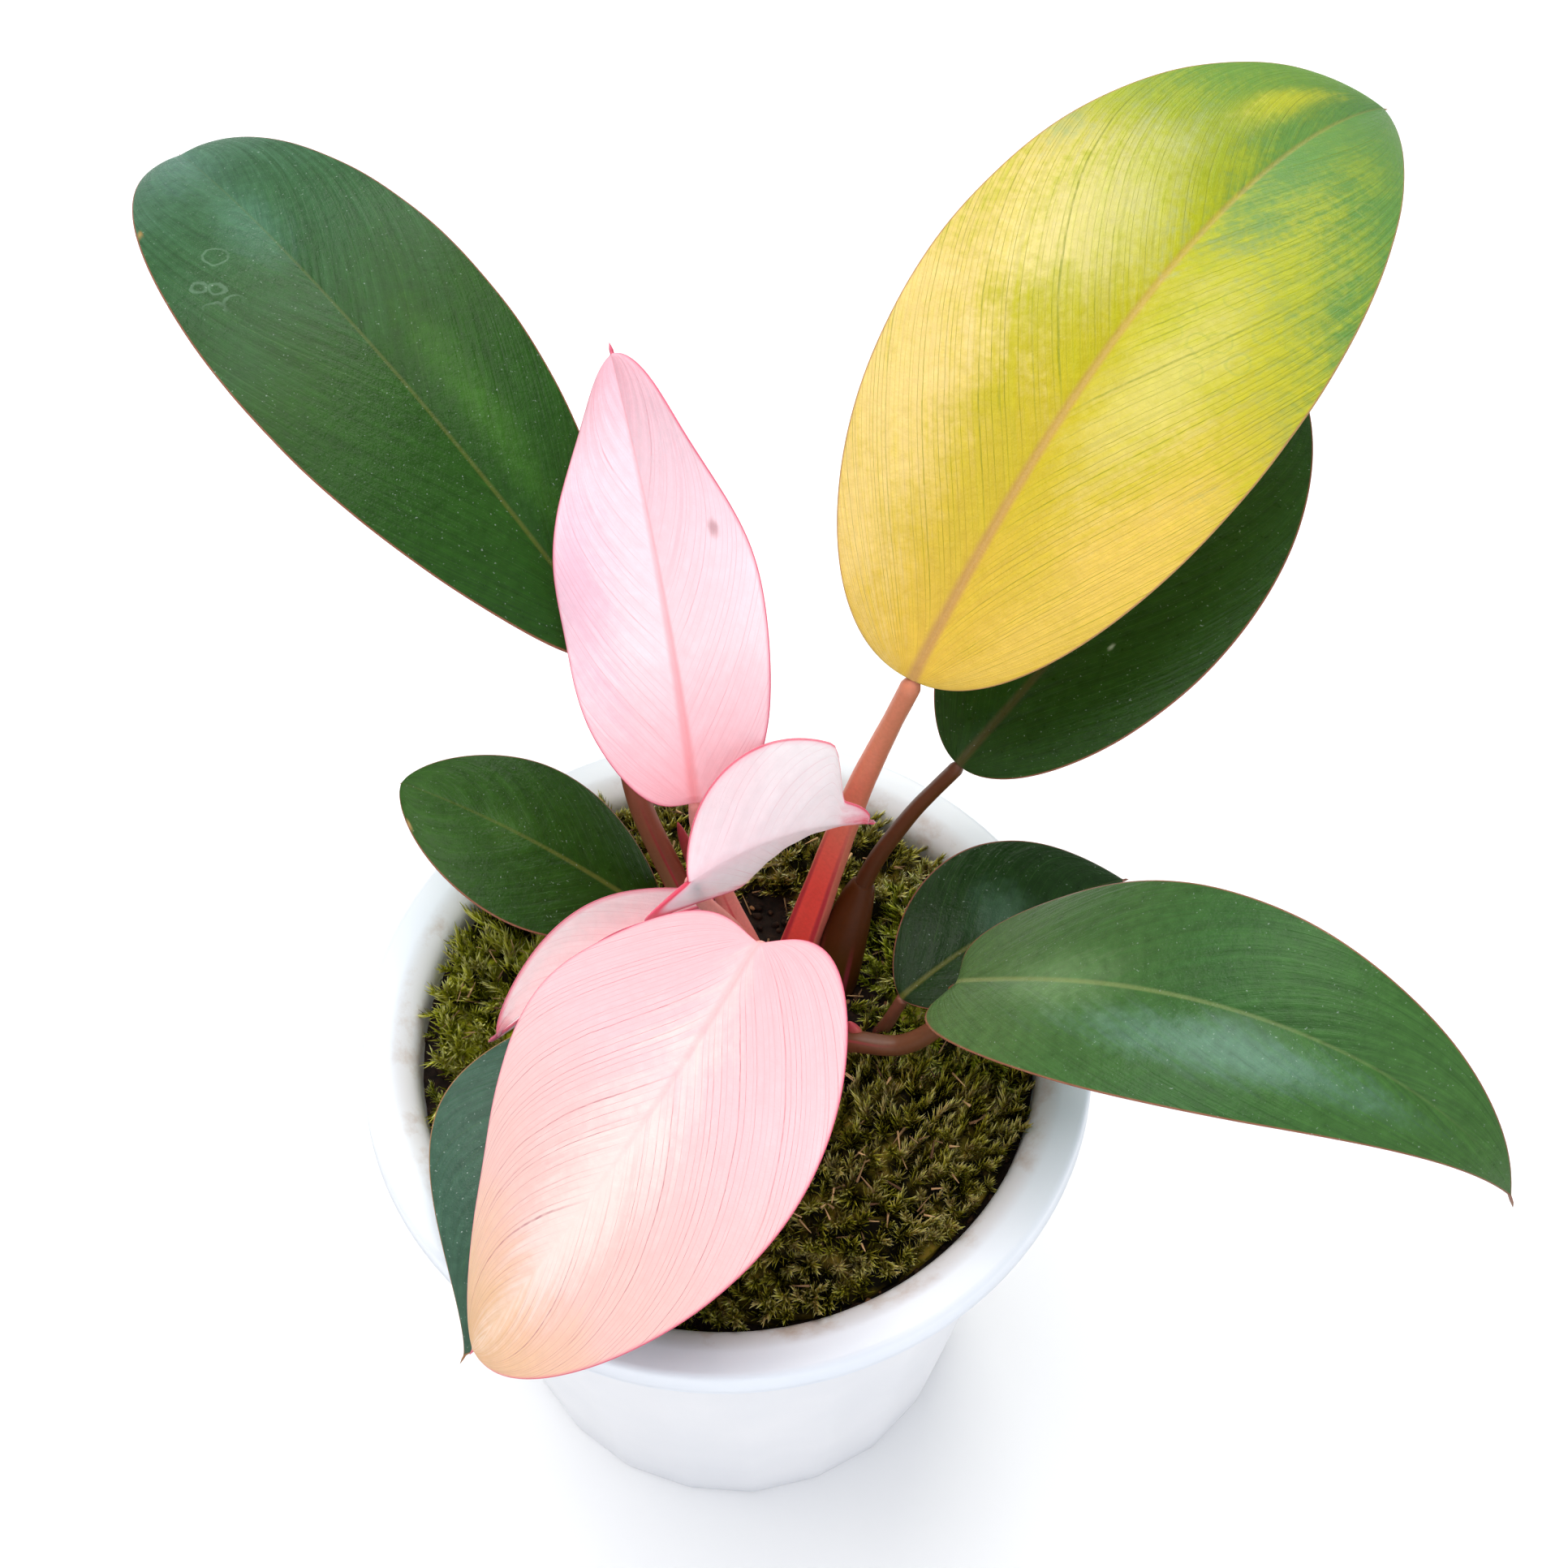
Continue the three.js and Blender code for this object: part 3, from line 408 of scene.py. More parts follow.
def in_pads(x, y, reach):
    """Whether a place lies in one of the moss pads, out to a share of its reach."""
    for pad in MOSS_PADS:
        turned = Matrix.Rotation(-math.radians(pad["turn"]), 2) @ Vector((x - pad["x"], y - pad["y"]))
        if math.hypot(turned.x / pad["long"], turned.y / pad["wide"]) < reach:
            return True
    return False


def loose_moss():
    """Single shoots on the soil between the pads, thinner where the soil lies bare."""
    draw = random.Random(23)
    bed = bmesh.new()
    kinds = [moss_shoot(draw) for _ in range(SHOOT_KINDS)]
    for _ in range(1300):
        radius = MOSS_LIMIT * math.sqrt(draw.random())
        angle = draw.uniform(0, 2 * math.pi)
        x = radius * math.cos(angle)
        y = radius * math.sin(angle)
        bare = any(math.hypot(x - cx, y - cy) < reach for cx, cy, reach in BARE_SPOTS)
        if bare or in_pads(x, y, 0.97):
            continue
        plant_shoot(bed, kinds, draw, x, y, soil_height(x, y) - 0.6, draw.uniform(0.6, 1.1), Vector((x, y)) * 0.006)
    for mesh in kinds:
        bpy.data.meshes.remove(mesh)
    return bed


def dead_bits():
    """Dry needles and slivers of old leaf that have fallen on the moss."""
    draw = random.Random(5)
    litter = bmesh.new()
    tipward = litter.verts.layers.float.new("tipward")
    for _ in range(420):
        radius = (MOSS_LIMIT - 4) * math.sqrt(draw.random())
        angle = draw.uniform(0, 2 * math.pi)
        x = radius * math.cos(angle)
        y = radius * math.sin(angle)
        up = soil_height(x, y) + (draw.uniform(5.5, 9) if in_pads(x, y, 0.8) else 0.8)
        lie = Matrix.Rotation(draw.uniform(0, 6.28), 4, "Z") @ Matrix.Rotation(draw.uniform(1.1, 1.7), 4, "Y")
        needle = bmesh.ops.create_cone(
            litter, cap_ends=True, segments=4, radius1=draw.uniform(0.16, 0.38) * MM, radius2=0.08 * MM,
            depth=draw.uniform(1.5, 5.5) * MM, matrix=Matrix.Translation(Vector((x, y, up)) * MM) @ lie)
        shade = draw.random()
        for vert in needle["verts"]:
            vert[tipward] = shade
    bmesh.ops.recalc_face_normals(litter, faces=litter.faces)
    return litter


def moss_material(name, tones, dry):
    """Soft matt moss: painted shade dark between and under the shoots, yellow-green at their tips, brown where dry."""
    moss, tree, shader = new_material(name, Roughness=0.7, IOR=1.4, Subsurface_Weight=0.4,
                                      Subsurface_Scale=1.2 * MM)
    shader.inputs["Subsurface Radius"].default_value = (0.8, 1.0, 0.2)
    shader.inputs["Specular IOR Level"].default_value = 0.1
    place = add_node(tree, "TexCoord", out="Object")
    tipward = add_node(tree, "Attribute", out="Fac", attribute_name="tipward")
    patches = add_node(tree, "TexNoise", {"Vector": place, "Scale": 1 / (6 * MM), "Detail": 4.0}, out="Fac")
    shift = add_node(tree, "MapRange", {"Value": patches, "From Min": 0.34, "From Max": 0.66,
                                        "To Min": -0.4, "To Max": 0.44}, out="Result")
    height = add_node(tree, "Math", {0: tipward, 1: shift}, operation="ADD")
    green = add_node(tree, "ValToRGB", {"Fac": height}, stops=[
        (0.0, tones[0]), (0.94, tones[4]), (0.18, tones[1]), (0.4, tones[2]), (0.65, tones[3])])
    age = add_node(tree, "TexNoise", {"Vector": place, "Scale": 1 / (6 * MM), "Detail": 6.0, "Roughness": 0.75}, out="Fac")
    aged = add_node(tree, "MapRange", {"Value": age, "From Min": 0.6 - 0.16 * dry, "From Max": 0.68 - 0.1 * dry,
                                       "To Min": 0.0, "To Max": 0.8}, out="Result")
    brown = add_node(tree, "ValToRGB", {"Fac": height}, stops=[
        (0.0, "#1a1004"), (1.0, "#c9a468"), (0.25, "#3e2a0e"), (0.55, "#7a5c26")])
    worn = add_node(tree, "Mix", {"Factor": aged, "A": green, "B": brown}, data_type="RGBA")
    tree.links.new(worn, shader.inputs["Base Color"])
    return moss


for pad in MOSS_PADS:
    moss = moss_material("cushion_" + pad["name"], pad["tones"], pad["dry"])
    new_piece(pad["name"] + "_shoots", moss_pad(pad), moss, "moss", pad["name"])
dry_litter, tree, shader = new_material("dry_needles", Roughness=0.8)
shade = add_node(tree, "Attribute", out="Fac", attribute_name="tipward")
straw = add_node(tree, "ValToRGB", {"Fac": shade}, stops=[(0.1, "#553519"), (0.95, "#dcb07c")])
tree.links.new(straw, shader.inputs["Base Color"])
new_piece("dry_litter", dead_bits(), dry_litter, "moss")
new_piece("loose_moss_shoots", loose_moss(), moss_material("cushion_moss_loose", MOSS_PADS[5]["tones"], 0.4), "moss")


# The stem
# One short fleshy stem, ringed with the scars of fallen leaves, that all the stalks rise from.
STEM_PLACE = (12, 11)
STEM_RADIUS = 3
STEM_HEIGHTS = (100, 131)


def stem_place(a, b):
    """The stem is ringed by a scar every 4 mm, and closes in a blunt bud."""
    height = lerp(*STEM_HEIGHTS, b)
    rings = 0.35 * abs(math.sin(math.pi * height / 4)) ** 0.3
    radius = (STEM_RADIUS - 0.9 * b - 0.3 + rings) * min(1, (1 - b) * 14, b * 30) ** 0.5
    turn = 2 * math.pi * a
    return (STEM_PLACE[0] + radius * math.cos(turn), STEM_PLACE[1] + radius * math.sin(turn), height), ()


stem_bark, tree, shader = new_material("ringed_green_brown_stem", Roughness=0.6)
place = add_node(tree, "TexCoord", out="Object")
fleck = add_node(tree, "TexNoise", {"Vector": place, "Scale": 1 / (2 * MM), "Detail": 5.0}, out="Fac")
bark = add_node(tree, "ValToRGB", {"Fac": fleck}, stops=[(0.3, "#3a2518"), (0.7, "#7c5b3c")])
tree.links.new(bark, shader.inputs["Base Color"])
new_piece("ringed_stem", wrapped_skin(40, 90, [], stem_place), stem_bark, "stem", "stem")


# The leaves
# Eleven leaves, each a thick waxy blade with a midrib, on a fleshy stalk. New blades open pink,
# pass through yellow and end dark green. Their margins are thin, smooth and reddish.
# base, heading, rise and so on give the midrib's course, which the frame's solids follow too. Where
# the two halves differ, left and right give width, widest place, fullness and point of each.
LEAVES = {
    "green_tall_left": {
        "base": (-22, 48, 193), "heading": 141, "sweep": -16, "rise": 44, "arch": -61, "bend": 1.15,
        "roll": -4, "twist": 2, "length": 147, "width": 56.5, "widest": 0.52, "full": 0.66, "point": 0.42,
        "tip": 0.01, "fold": (14, 15), "curl": -18, "lobe": (0.03, 0.03), "right": (52.5, 0.52, 0.66, 0.42),
        "stalk": [(-3, 20, 122), (-10, 26, 140), (-18, 34, 162), (-21, 43, 182)], "thick": (3.2, 2.1), "groove": 0.3},
    "pink_upright": {
        "base": (-5.2, 18.5, 181.5), "heading": 101, "sweep": 5, "rise": 53, "arch": -28, "bend": 1.1,
        "roll": -16, "twist": -36, "length": 89, "width": 42.4, "widest": 0.42, "full": 0.69, "point": 0.56,
        "tip": 0.03, "fold": (18, 18), "curl": -16, "lobe": (0.03, 0.03), "wave": 2.2, "waves": 1.8, "phase": -0.15,
        "stalk": [(6, 18, 122), (-1, 23, 143), (-5.2, 21.5, 169)], "thick": (3, 1.6), "groove": 0},
    "yellow_large": {
        "base": (35, 28, 207), "heading": 58, "sweep": -13, "rise": 31, "arch": -58, "bend": 1.8,
        "roll": -2, "twist": 16, "length": 171.6, "width": 78, "widest": 0.43, "full": 0.56, "point": 0.7,
        "tip": 0.015, "fold": (17, 17), "curl": -20, "lobe": (0, 0),
        "stalk": [(14, 19, 122), (19, 23, 145), (26, 28, 172)], "thick": (5, 2), "groove": 0.45},
    "green_tall_right": {
        "base": (45, 27, 182), "heading": 41, "sweep": 16, "rise": 29, "arch": -32, "bend": 1,
        "roll": 2, "twist": -8, "length": 114, "width": 53, "widest": 0.44, "full": 0.6, "point": 0.75,
        "tip": 0.03, "fold": (14, 13), "curl": -16, "lobe": (0, 0),
        "stalk": [(23, 15, 122), (28, 24, 146), (36, 27, 164)], "thick": (2.6, 1.5), "groove": 0},
    "green_small_left": {
        "base": (-15, 18, 142), "heading": 159, "sweep": 2, "rise": 32, "arch": -26, "bend": 1.35,
        "roll": 6, "twist": -14, "length": 58.8, "width": 37, "widest": 0.48, "full": 0.64, "point": 0.6,
        "tip": 0.01, "fold": (8, 3), "curl": -16, "lobe": (0.03, 0.03),
        "stalk": [(-8, 11, 120), (-11, 15, 133)], "thick": (2.2, 1.3), "groove": 0},
    "pink_folded": {
        "base": (-6.3, 0.2, 181.8), "heading": 35.5, "sweep": -14, "rise": 10, "arch": -44, "bend": 1,
        "roll": 68, "twist": 30, "length": 42.7, "tip": 0.05, "left": (37.2, 0.55, 0.71, 0.41),
        "right": (36.2, 0.53, 1, 0.85), "nick": (0.74, 0.05, 0.68), "fold": (-24, -5), "fold_end": (-12, -30),
        "curl": -12, "lobe": (0, 0.3),
        "stalk": [(5, 11, 122), (3, 10, 145), (-4.5, 4.5, 170)], "thick": (2.6, 1.4), "groove": 0},
    "pink_small_left": {
        "base": (-2.5, 15, 152), "heading": 215.5, "sweep": -0.5, "rise": 2.6, "arch": -11, "bend": 1.1,
        "roll": -25, "twist": -4, "length": 53, "tip": 0.04, "left": (33.8, 0.65, 1, 1.4),
        "right": (27.9, 0.54, 0.75, 0.68), "fold": (130, 27), "fold_end": (93, 49), "curl": -10,
        "lobe": (0.04, 0.04),
        "stalk": [(-2, 14, 122), (-2, 15, 140)], "thick": (2.2, 1.2), "groove": 0},
    "pink_large": {
        "base": (7, -14, 184), "heading": 243, "sweep": -36, "rise": 7, "arch": -61, "bend": 0.5,
        "roll": 11, "twist": -12, "length": 99, "width": 70, "widest": 0.37, "full": 1, "point": 0.6,
        "tip": 0.02, "fold": (14, 4), "curl": -14, "lobe": (0.07, 0.07), "sweep_of_veins": 0.6,
        "stalk": [(12, 3, 122), (12, -3, 150)], "thick": (3, 1.8), "groove": 0},
    "green_low_front": {
        "base": (-4.5, 6, 139.5), "heading": 247, "sweep": -16, "rise": 5.5, "arch": -48, "bend": 2,
        "roll": -1, "twist": -2, "length": 93, "width": 63, "widest": 0.535, "full": 0.7, "point": 1.3,
        "tip": 0.02, "fold": (12, 6), "curl": -14, "lobe": (0.03, 0.03),
        "stalk": [(4, 5, 121), (1, 6, 132)], "thick": (2.2, 1.4), "groove": 0},
    "green_small_right": {
        "base": (35, 1, 138), "heading": 36, "sweep": -10, "rise": 19, "arch": -40, "bend": 1,
        "roll": 2, "twist": 2, "length": 58, "width": 36, "widest": 0.47, "full": 0.68, "point": 0.9,
        "tip": 0.03, "fold": (16, 14), "curl": -14, "lobe": (0, 0),
        "stalk": [(31, 3, 118), (33, 1, 129)], "thick": (2, 1.3), "groove": 0},
    "green_front_right": {
        "base": (45, -3, 151), "heading": 330, "sweep": 6, "rise": 43, "arch": -114, "bend": 1.75,
        "roll": 0, "twist": 38, "length": 133, "width": 44, "widest": 0.35, "full": 0.78, "point": 1.05,
        "tip": 0.03, "fold": (10, 16), "curl": -16, "lobe": (0.05, 0.05),
        "stalk": [(19, 1, 120), (25, -6, 133), (35, -8, 135), (43, -7, 143)], "thick": (2.8, 1.9), "groove": 0.2},
}
MIDRIB_STEPS = 160
BLADE_THICKNESS = (0.9, 0.7)
OUTLINE_KEYS = ("width", "widest", "full", "point")
VEIN_SWEEP = 0.42
VEIN_GAP = 2.3
DRIP_TIP = 0.35


def midrib_of(leaf):
    """The midrib's place, direction, side and face from base to tip, by the share of its length."""
    frames = []
    point = Vector(leaf["base"])
    before = None
    for k in range(MIDRIB_STEPS + 1):
        u = k / MIDRIB_STEPS
        heading = math.radians(leaf["heading"] + leaf["sweep"] * u)
        slope = math.radians(leaf["rise"] + leaf["arch"] * u ** leaf["bend"])
        roll = math.radians(leaf["roll"] + leaf["twist"] * u)
        level_way = Vector((math.cos(heading), math.sin(heading), 0))
        along = level_way * math.cos(slope) + Vector((0, 0, math.sin(slope)))
        level = Vector((-math.sin(heading), math.cos(heading), 0))
        upright = along.cross(level)
        side = level * math.cos(roll) + upright * math.sin(roll)
        face = upright * math.cos(roll) - level * math.sin(roll)
        if before:
            point = point + (before + along) * (leaf["length"] / MIDRIB_STEPS / 2)
        frames.append((point, along, side, face))
        before = along

    def at(u):
        spot = min(max(u, 0), 1) * MIDRIB_STEPS
        k = min(int(spot), MIDRIB_STEPS - 1)
        return [one.lerp(next_one, spot - k) for one, next_one in zip(frames[k], frames[k + 1])]

    return at


def half_width(leaf, u, left):
    """Half the blade's width in mm at a share of its length."""
    side = "left" if left else "right"
    width, widest, full, point = leaf[side] if side in leaf else [leaf[k] for k in OUTLINE_KEYS]
    power = math.log(0.5) / math.log(widest)
    share = min(u / (1 - leaf["tip"]), 1)
    body = max(math.sin(math.pi * share ** power), 0) ** lerp(full, point, share)
    if left and "nick" in leaf:
        place, reach, depth = leaf["nick"]
        step = min(max((u - place + reach) / (2 * reach), 0), 1)
        body *= 1 - depth * step * step * (3 - 2 * step)
    return width / 2 * body + DRIP_TIP * math.sqrt(1 - u) * min(u / 0.2, 1)


def blade_surface(leaf, midrib):
    """The blade's middle surface: u runs from base to tip, v from -1, the right edge, to 1."""
    curl = math.radians(leaf["curl"])

    def at(u, v):
        point, along, side, face = midrib(u)
        t = abs(v)
        half = half_width(leaf, u, v > 0)
        one = 0 if v > 0 else 1
        fold = math.radians(lerp(leaf["fold"][one], leaf.get("fold_end", leaf["fold"])[one], u))
        out = (math.sin(fold + curl * t) - math.sin(fold)) / curl
        up = (math.cos(fold) - math.cos(fold + curl * t)) / curl
        turns = leaf.get("waves", 0) * u + leaf.get("phase", 0)
        ripple = leaf.get("wave", 0) * t ** 3 * math.sin(math.pi * u)
        ripple *= math.sin(2 * math.pi * turns + (1.7 if v > 0 else 0))
        ruffle = noise.noise(Vector((u * leaf["length"] / 16, 3 if v > 0 else 7, leaf["base"][0])))
        ripple += ruffle * 0.55 * t ** 3 * math.sin(math.pi * u)
        behind = leaf["lobe"][one] * leaf["length"] * t * t * (u / 0.06) * math.exp(1 - u / 0.06)
        return point - along * behind + side * (math.copysign(1, v) * out * half) + face * (up * half + ripple)

    return at


def vein_phase(leaf, u, v):
    """How many fine side veins lie between the blade's base and this place."""
    forward = leaf.get("sweep_of_veins", VEIN_SWEEP) * (0.75 * abs(v) + 0.25 * abs(v) ** 3)
    return (u - forward) * leaf["length"] / VEIN_GAP


def blade_skin(leaf, midrib, around=104, along=120):
    """The blade as a closed skin with a round margin, raised below along its midrib."""
    surface = blade_surface(leaf, midrib)
    rib_size = min(1, leaf["length"] / 110)

    def place(a, b):
        u = (1 - math.cos(math.pi * b)) / 2
        wave = -math.cos(2 * math.pi * a)
        v = math.copysign(abs(wave) ** 1.5, wave)
        over = math.sin(2 * math.pi * a)
        near = min(max(u, 0.01), 0.99)
        inner = min(max(v, -0.95), 0.95)
        lengthwise = surface(near + 0.008, v) - surface(near - 0.008, v)
        crosswise = surface(near, inner + 0.05) - surface(near, inner - 0.05)
        face = lengthwise.cross(crosswise).normalized()
        half = half_width(leaf, u, v > 0)
        from_rib = v * half
        rib = (1 - u) ** 0.7 * rib_size * math.exp(-(from_rib / (1.6 * rib_size * (1 - 0.6 * u))) ** 2)
        ends = min(1, u * 60, (1 - u) * 60)
        thick = lerp(*BLADE_THICKNESS, abs(v)) / 2 * math.copysign(abs(over) ** 0.4, over) * ends
        phase = vein_phase(leaf, u, v)
        ridge = 0.10 * math.cos(2 * math.pi * phase / leaf.get("ridge_every", 3)) * (1 - abs(v) ** 3)
        ridge *= min(1, abs(from_rib) / 3) * min(1, 6 * (1 - u), 10 * u)
        relief = ridge * leaf.get("relief", 1.0)
        relief += (leaf.get("rib_over", -0.15) if over > 0 else -1.3) * rib
        spot = surface(u, v) + face * (thick + relief)
        return spot, (u, v, phase, half * (1 - abs(v)), abs(from_rib), over)

    return wrapped_skin(around, along, ["u", "v", "vein", "from_edge", "from_rib", "over"], place)


def leaf_material(name, look):
    """A waxy leaf skin: its colours from base to tip, patches of other colours and of painted highlight and sheen,
    veins and margin.
    """
    leaf, tree, shader = new_material(
        name, Roughness=look.get("roughness", 0.4), IOR=1.42,
        Subsurface_Weight=look.get("glow", 0.05), Subsurface_Scale=look.get("depth", 0.8) * MM,
        Coat_Weight=look.get("coat", 0.0), Coat_Roughness=0.3)
    shader.inputs["Subsurface Radius"].default_value = look.get("through", (0.5, 1.0, 0.3))
    shader.inputs["Specular IOR Level"].default_value = look.get("specular", 0.5)
    place = add_node(tree, "TexCoord", out="Object")
    u = add_node(tree, "Attribute", out="Fac", attribute_name="u")
    v = add_node(tree, "Attribute", out="Fac", attribute_name="v")
    vein = add_node(tree, "Attribute", out="Fac", attribute_name="vein")
    from_edge = add_node(tree, "Attribute", out="Fac", attribute_name="from_edge")
    from_rib = add_node(tree, "Attribute", out="Fac", attribute_name="from_rib")
    over = add_node(tree, "Attribute", out="Fac", attribute_name="over")
    cloud = add_node(tree, "TexNoise", {"Vector": place, "Scale": 1 / (14 * MM), "Detail": 4.0}, out="Fac")
    cloud_off = add_node(tree, "Math", {0: cloud, 1: -0.5}, operation="ADD")
    across_veins = add_node(tree, "Math", {0: vein, 1: 0.7}, operation="MULTIPLY")
    along_veins = add_node(tree, "Math", {0: v, 1: 2.4}, operation="MULTIPLY")
    vein_place = add_node(tree, "CombineXYZ", {"X": across_veins, "Y": along_veins}, out="Vector")
    grain = add_node(tree, "TexNoise", {"Vector": vein_place, "Scale": 1.0, "Detail": 4.0, "Roughness": 0.6}, out="Fac")
    grain_off = add_node(tree, "Math", {0: grain, 1: -0.5}, operation="ADD")
    hammer = add_node(tree, "TexNoise", {"Vector": place, "Scale": 1 / (1.5 * MM), "Detail": 3.0}, out="Fac")
    hammer_off = add_node(tree, "Math", {0: hammer, 1: -0.5}, operation="ADD")
    wander = add_node(tree, "Math", {0: cloud_off, 1: look.get("wander", 0.2), 2: u}, operation="MULTIPLY_ADD")
    wander = add_node(tree, "Math", {0: grain_off, 1: look.get("wander", 0.2), 2: wander}, operation="MULTIPLY_ADD")
    colour = add_node(tree, "ValToRGB", {"Fac": wander}, stops=look["stops"])

    # Each patch blends a colour into an oval in leaf coordinates; some are the leaf's own colour, some are painted
    # highlight and sheen.
    for tint, centre_u, centre_v, reach_u, reach_v, strength in look.get("patches_and_painted_sheen", []):
        off_u = add_node(tree, "Math", {0: u, 1: -centre_u}, operation="ADD")
        off_u = add_node(tree, "Math", {0: off_u, 1: reach_u}, operation="DIVIDE")
        off_v = add_node(tree, "Math", {0: v, 1: -centre_v}, operation="ADD")
        off_v = add_node(tree, "Math", {0: off_v, 1: reach_v}, operation="DIVIDE")
        off = add_node(tree, "CombineXYZ", {"X": off_u, "Y": off_v}, out="Vector")
        away = add_node(tree, "VectorMath", {0: off}, operation="LENGTH", out="Value")
        frayed = add_node(tree, "Math", {0: cloud_off, 1: look.get("fray", 0.9), 2: away}, operation="MULTIPLY_ADD")
        frayed = add_node(tree, "Math", {0: grain_off, 1: look.get("fray_along", 1.2), 2: frayed}, operation="MULTIPLY_ADD")
        frayed = add_node(tree, "Math", {0: hammer_off, 1: look.get("fray_fine", 0.5), 2: frayed}, operation="MULTIPLY_ADD")
        mask = add_node(tree, "MapRange", {"Value": frayed, "From Min": 1.1, "From Max": 0.0, "To Min": 0.0,
                                           "To Max": strength}, interpolation_type="SMOOTHSTEP", out="Result")
        colour = add_node(tree, "Mix", {"Factor": mask, "A": colour, "B": linear(tint)}, data_type="RGBA")

    tone = add_node(tree, "TexNoise", {"Vector": place, "Scale": 1 / (2.2 * MM), "Detail": 5.0}, out="Fac")
    light = add_node(tree, "MapRange", {"Value": tone, "From Min": 0.25, "From Max": 0.75, "To Min": 1 - look.get("mottle", 0.1),
                                        "To Max": 1 + look.get("mottle", 0.1)}, out="Result")
    colour = add_node(tree, "Mix", {"Factor": 1.0, "A": colour, "B": light}, data_type="RGBA", blend_type="MULTIPLY")
    streak = add_node(tree, "MapRange", {"Value": grain, "From Min": 0.25, "From Max": 0.75,
                                         "To Min": 1 - look.get("streak", 0.1), "To Max": 1 + look.get("streak", 0.1)},
                      out="Result")
    colour = add_node(tree, "Mix", {"Factor": 1.0, "A": colour, "B": streak}, data_type="RGBA", blend_type="MULTIPLY")

    spread = add_node(tree, "TexNoise", {"W": vein, "Scale": 0.8, "Detail": 1.0}, noise_dimensions="1D", out="Fac")
    shaken = add_node(tree, "Math", {0: spread, 1: 1.1, 2: vein}, operation="MULTIPLY_ADD")
    shaken = add_node(tree, "Math", {0: cloud_off, 1: 0.5, 2: shaken}, operation="MULTIPLY_ADD")
    fine = add_node(tree, "Math", {0: shaken, 1: 0.5}, operation="PINGPONG")
    number = add_node(tree, "Math", {0: shaken, 1: 0.5}, operation="ADD")
    number = add_node(tree, "Math", {0: number}, operation="FLOOR")
    chance = add_node(tree, "TexWhiteNoise", {"W": number}, noise_dimensions="1D", out="Value")
    chance = add_node(tree, "MapRange", {"Value": chance, "To Min": 0.25, "To Max": 1.0}, out="Result")
    fine_line = add_node(tree, "MapRange", {"Value": fine, "From Min": look.get("vein_width", 0.09), "From Max": 0.01,
                                            "To Min": 0.0, "To Max": look.get("vein_strength", 0.4)},
                         interpolation_type="SMOOTHSTEP", out="Result")
    fade = add_node(tree, "MapRange", {"Value": tone, "From Min": 0.3, "From Max": 0.6, "To Min": 0.35, "To Max": 1.0}, out="Result")
    fine_line = add_node(tree, "Math", {0: fine_line, 1: fade}, operation="MULTIPLY")
    fine_line = add_node(tree, "Math", {0: fine_line, 1: chance}, operation="MULTIPLY")
    off_rib = add_node(tree, "MapRange", {"Value": from_rib, "From Min": 0.0, "From Max": 6.0, "To Min": 0.1,
                                          "To Max": 1.0}, out="Result")
    fine_line = add_node(tree, "Math", {0: fine_line, 1: off_rib}, operation="MULTIPLY")
    colour = add_node(tree, "Mix", {"Factor": fine_line, "A": colour, "B": linear(look["vein"])}, data_type="RGBA")

    taper = add_node(tree, "MapRange", {"Value": u, "From Min": 0.0, "From Max": 1.0, "To Min": look.get("rib_width", 1.5),
                                        "To Max": look.get("rib_width", 1.5) * 0.25}, out="Result")
    on_rib = add_node(tree, "Math", {0: from_rib, 1: taper}, operation="DIVIDE")
    rib_fade = add_node(tree, "MapRange", {"Value": u, "From Min": 0.0, "From Max": look.get("rib_end", 1.0),
                                           "To Min": look.get("rib_strength", 0.8), "To Max": 0.0}, out="Result")
    rib_mask = add_node(tree, "MapRange", {"Value": on_rib, "From Min": 1.3, "From Max": 0.3, "To Min": 0.0,
                                           "To Max": 1.0}, interpolation_type="SMOOTHSTEP", out="Result")
    rib_mask = add_node(tree, "Math", {0: rib_mask, 1: rib_fade}, operation="MULTIPLY")
    colour = add_node(tree, "Mix", {"Factor": rib_mask, "A": colour, "B": linear(look["rib"])}, data_type="RGBA")

    under = add_node(tree, "MapRange", {"Value": over, "From Min": 0.1, "From Max": -0.1, "To Min": 0.0,
                                        "To Max": look.get("under_strength", 0.6)}, out="Result")
    colour = add_node(tree, "Mix", {"Factor": under, "A": colour, "B": linear(look["under"])}, data_type="RGBA")

    for tint, width, strength in look["margins"]:
        edge = add_node(tree, "MapRange", {"Value": from_edge, "From Min": width, "From Max": width * 0.3, "To Min": 0.0,
                                           "To Max": strength}, interpolation_type="SMOOTHSTEP", out="Result")
        colour = add_node(tree, "Mix", {"Factor": edge, "A": colour, "B": linear(tint)}, data_type="RGBA")

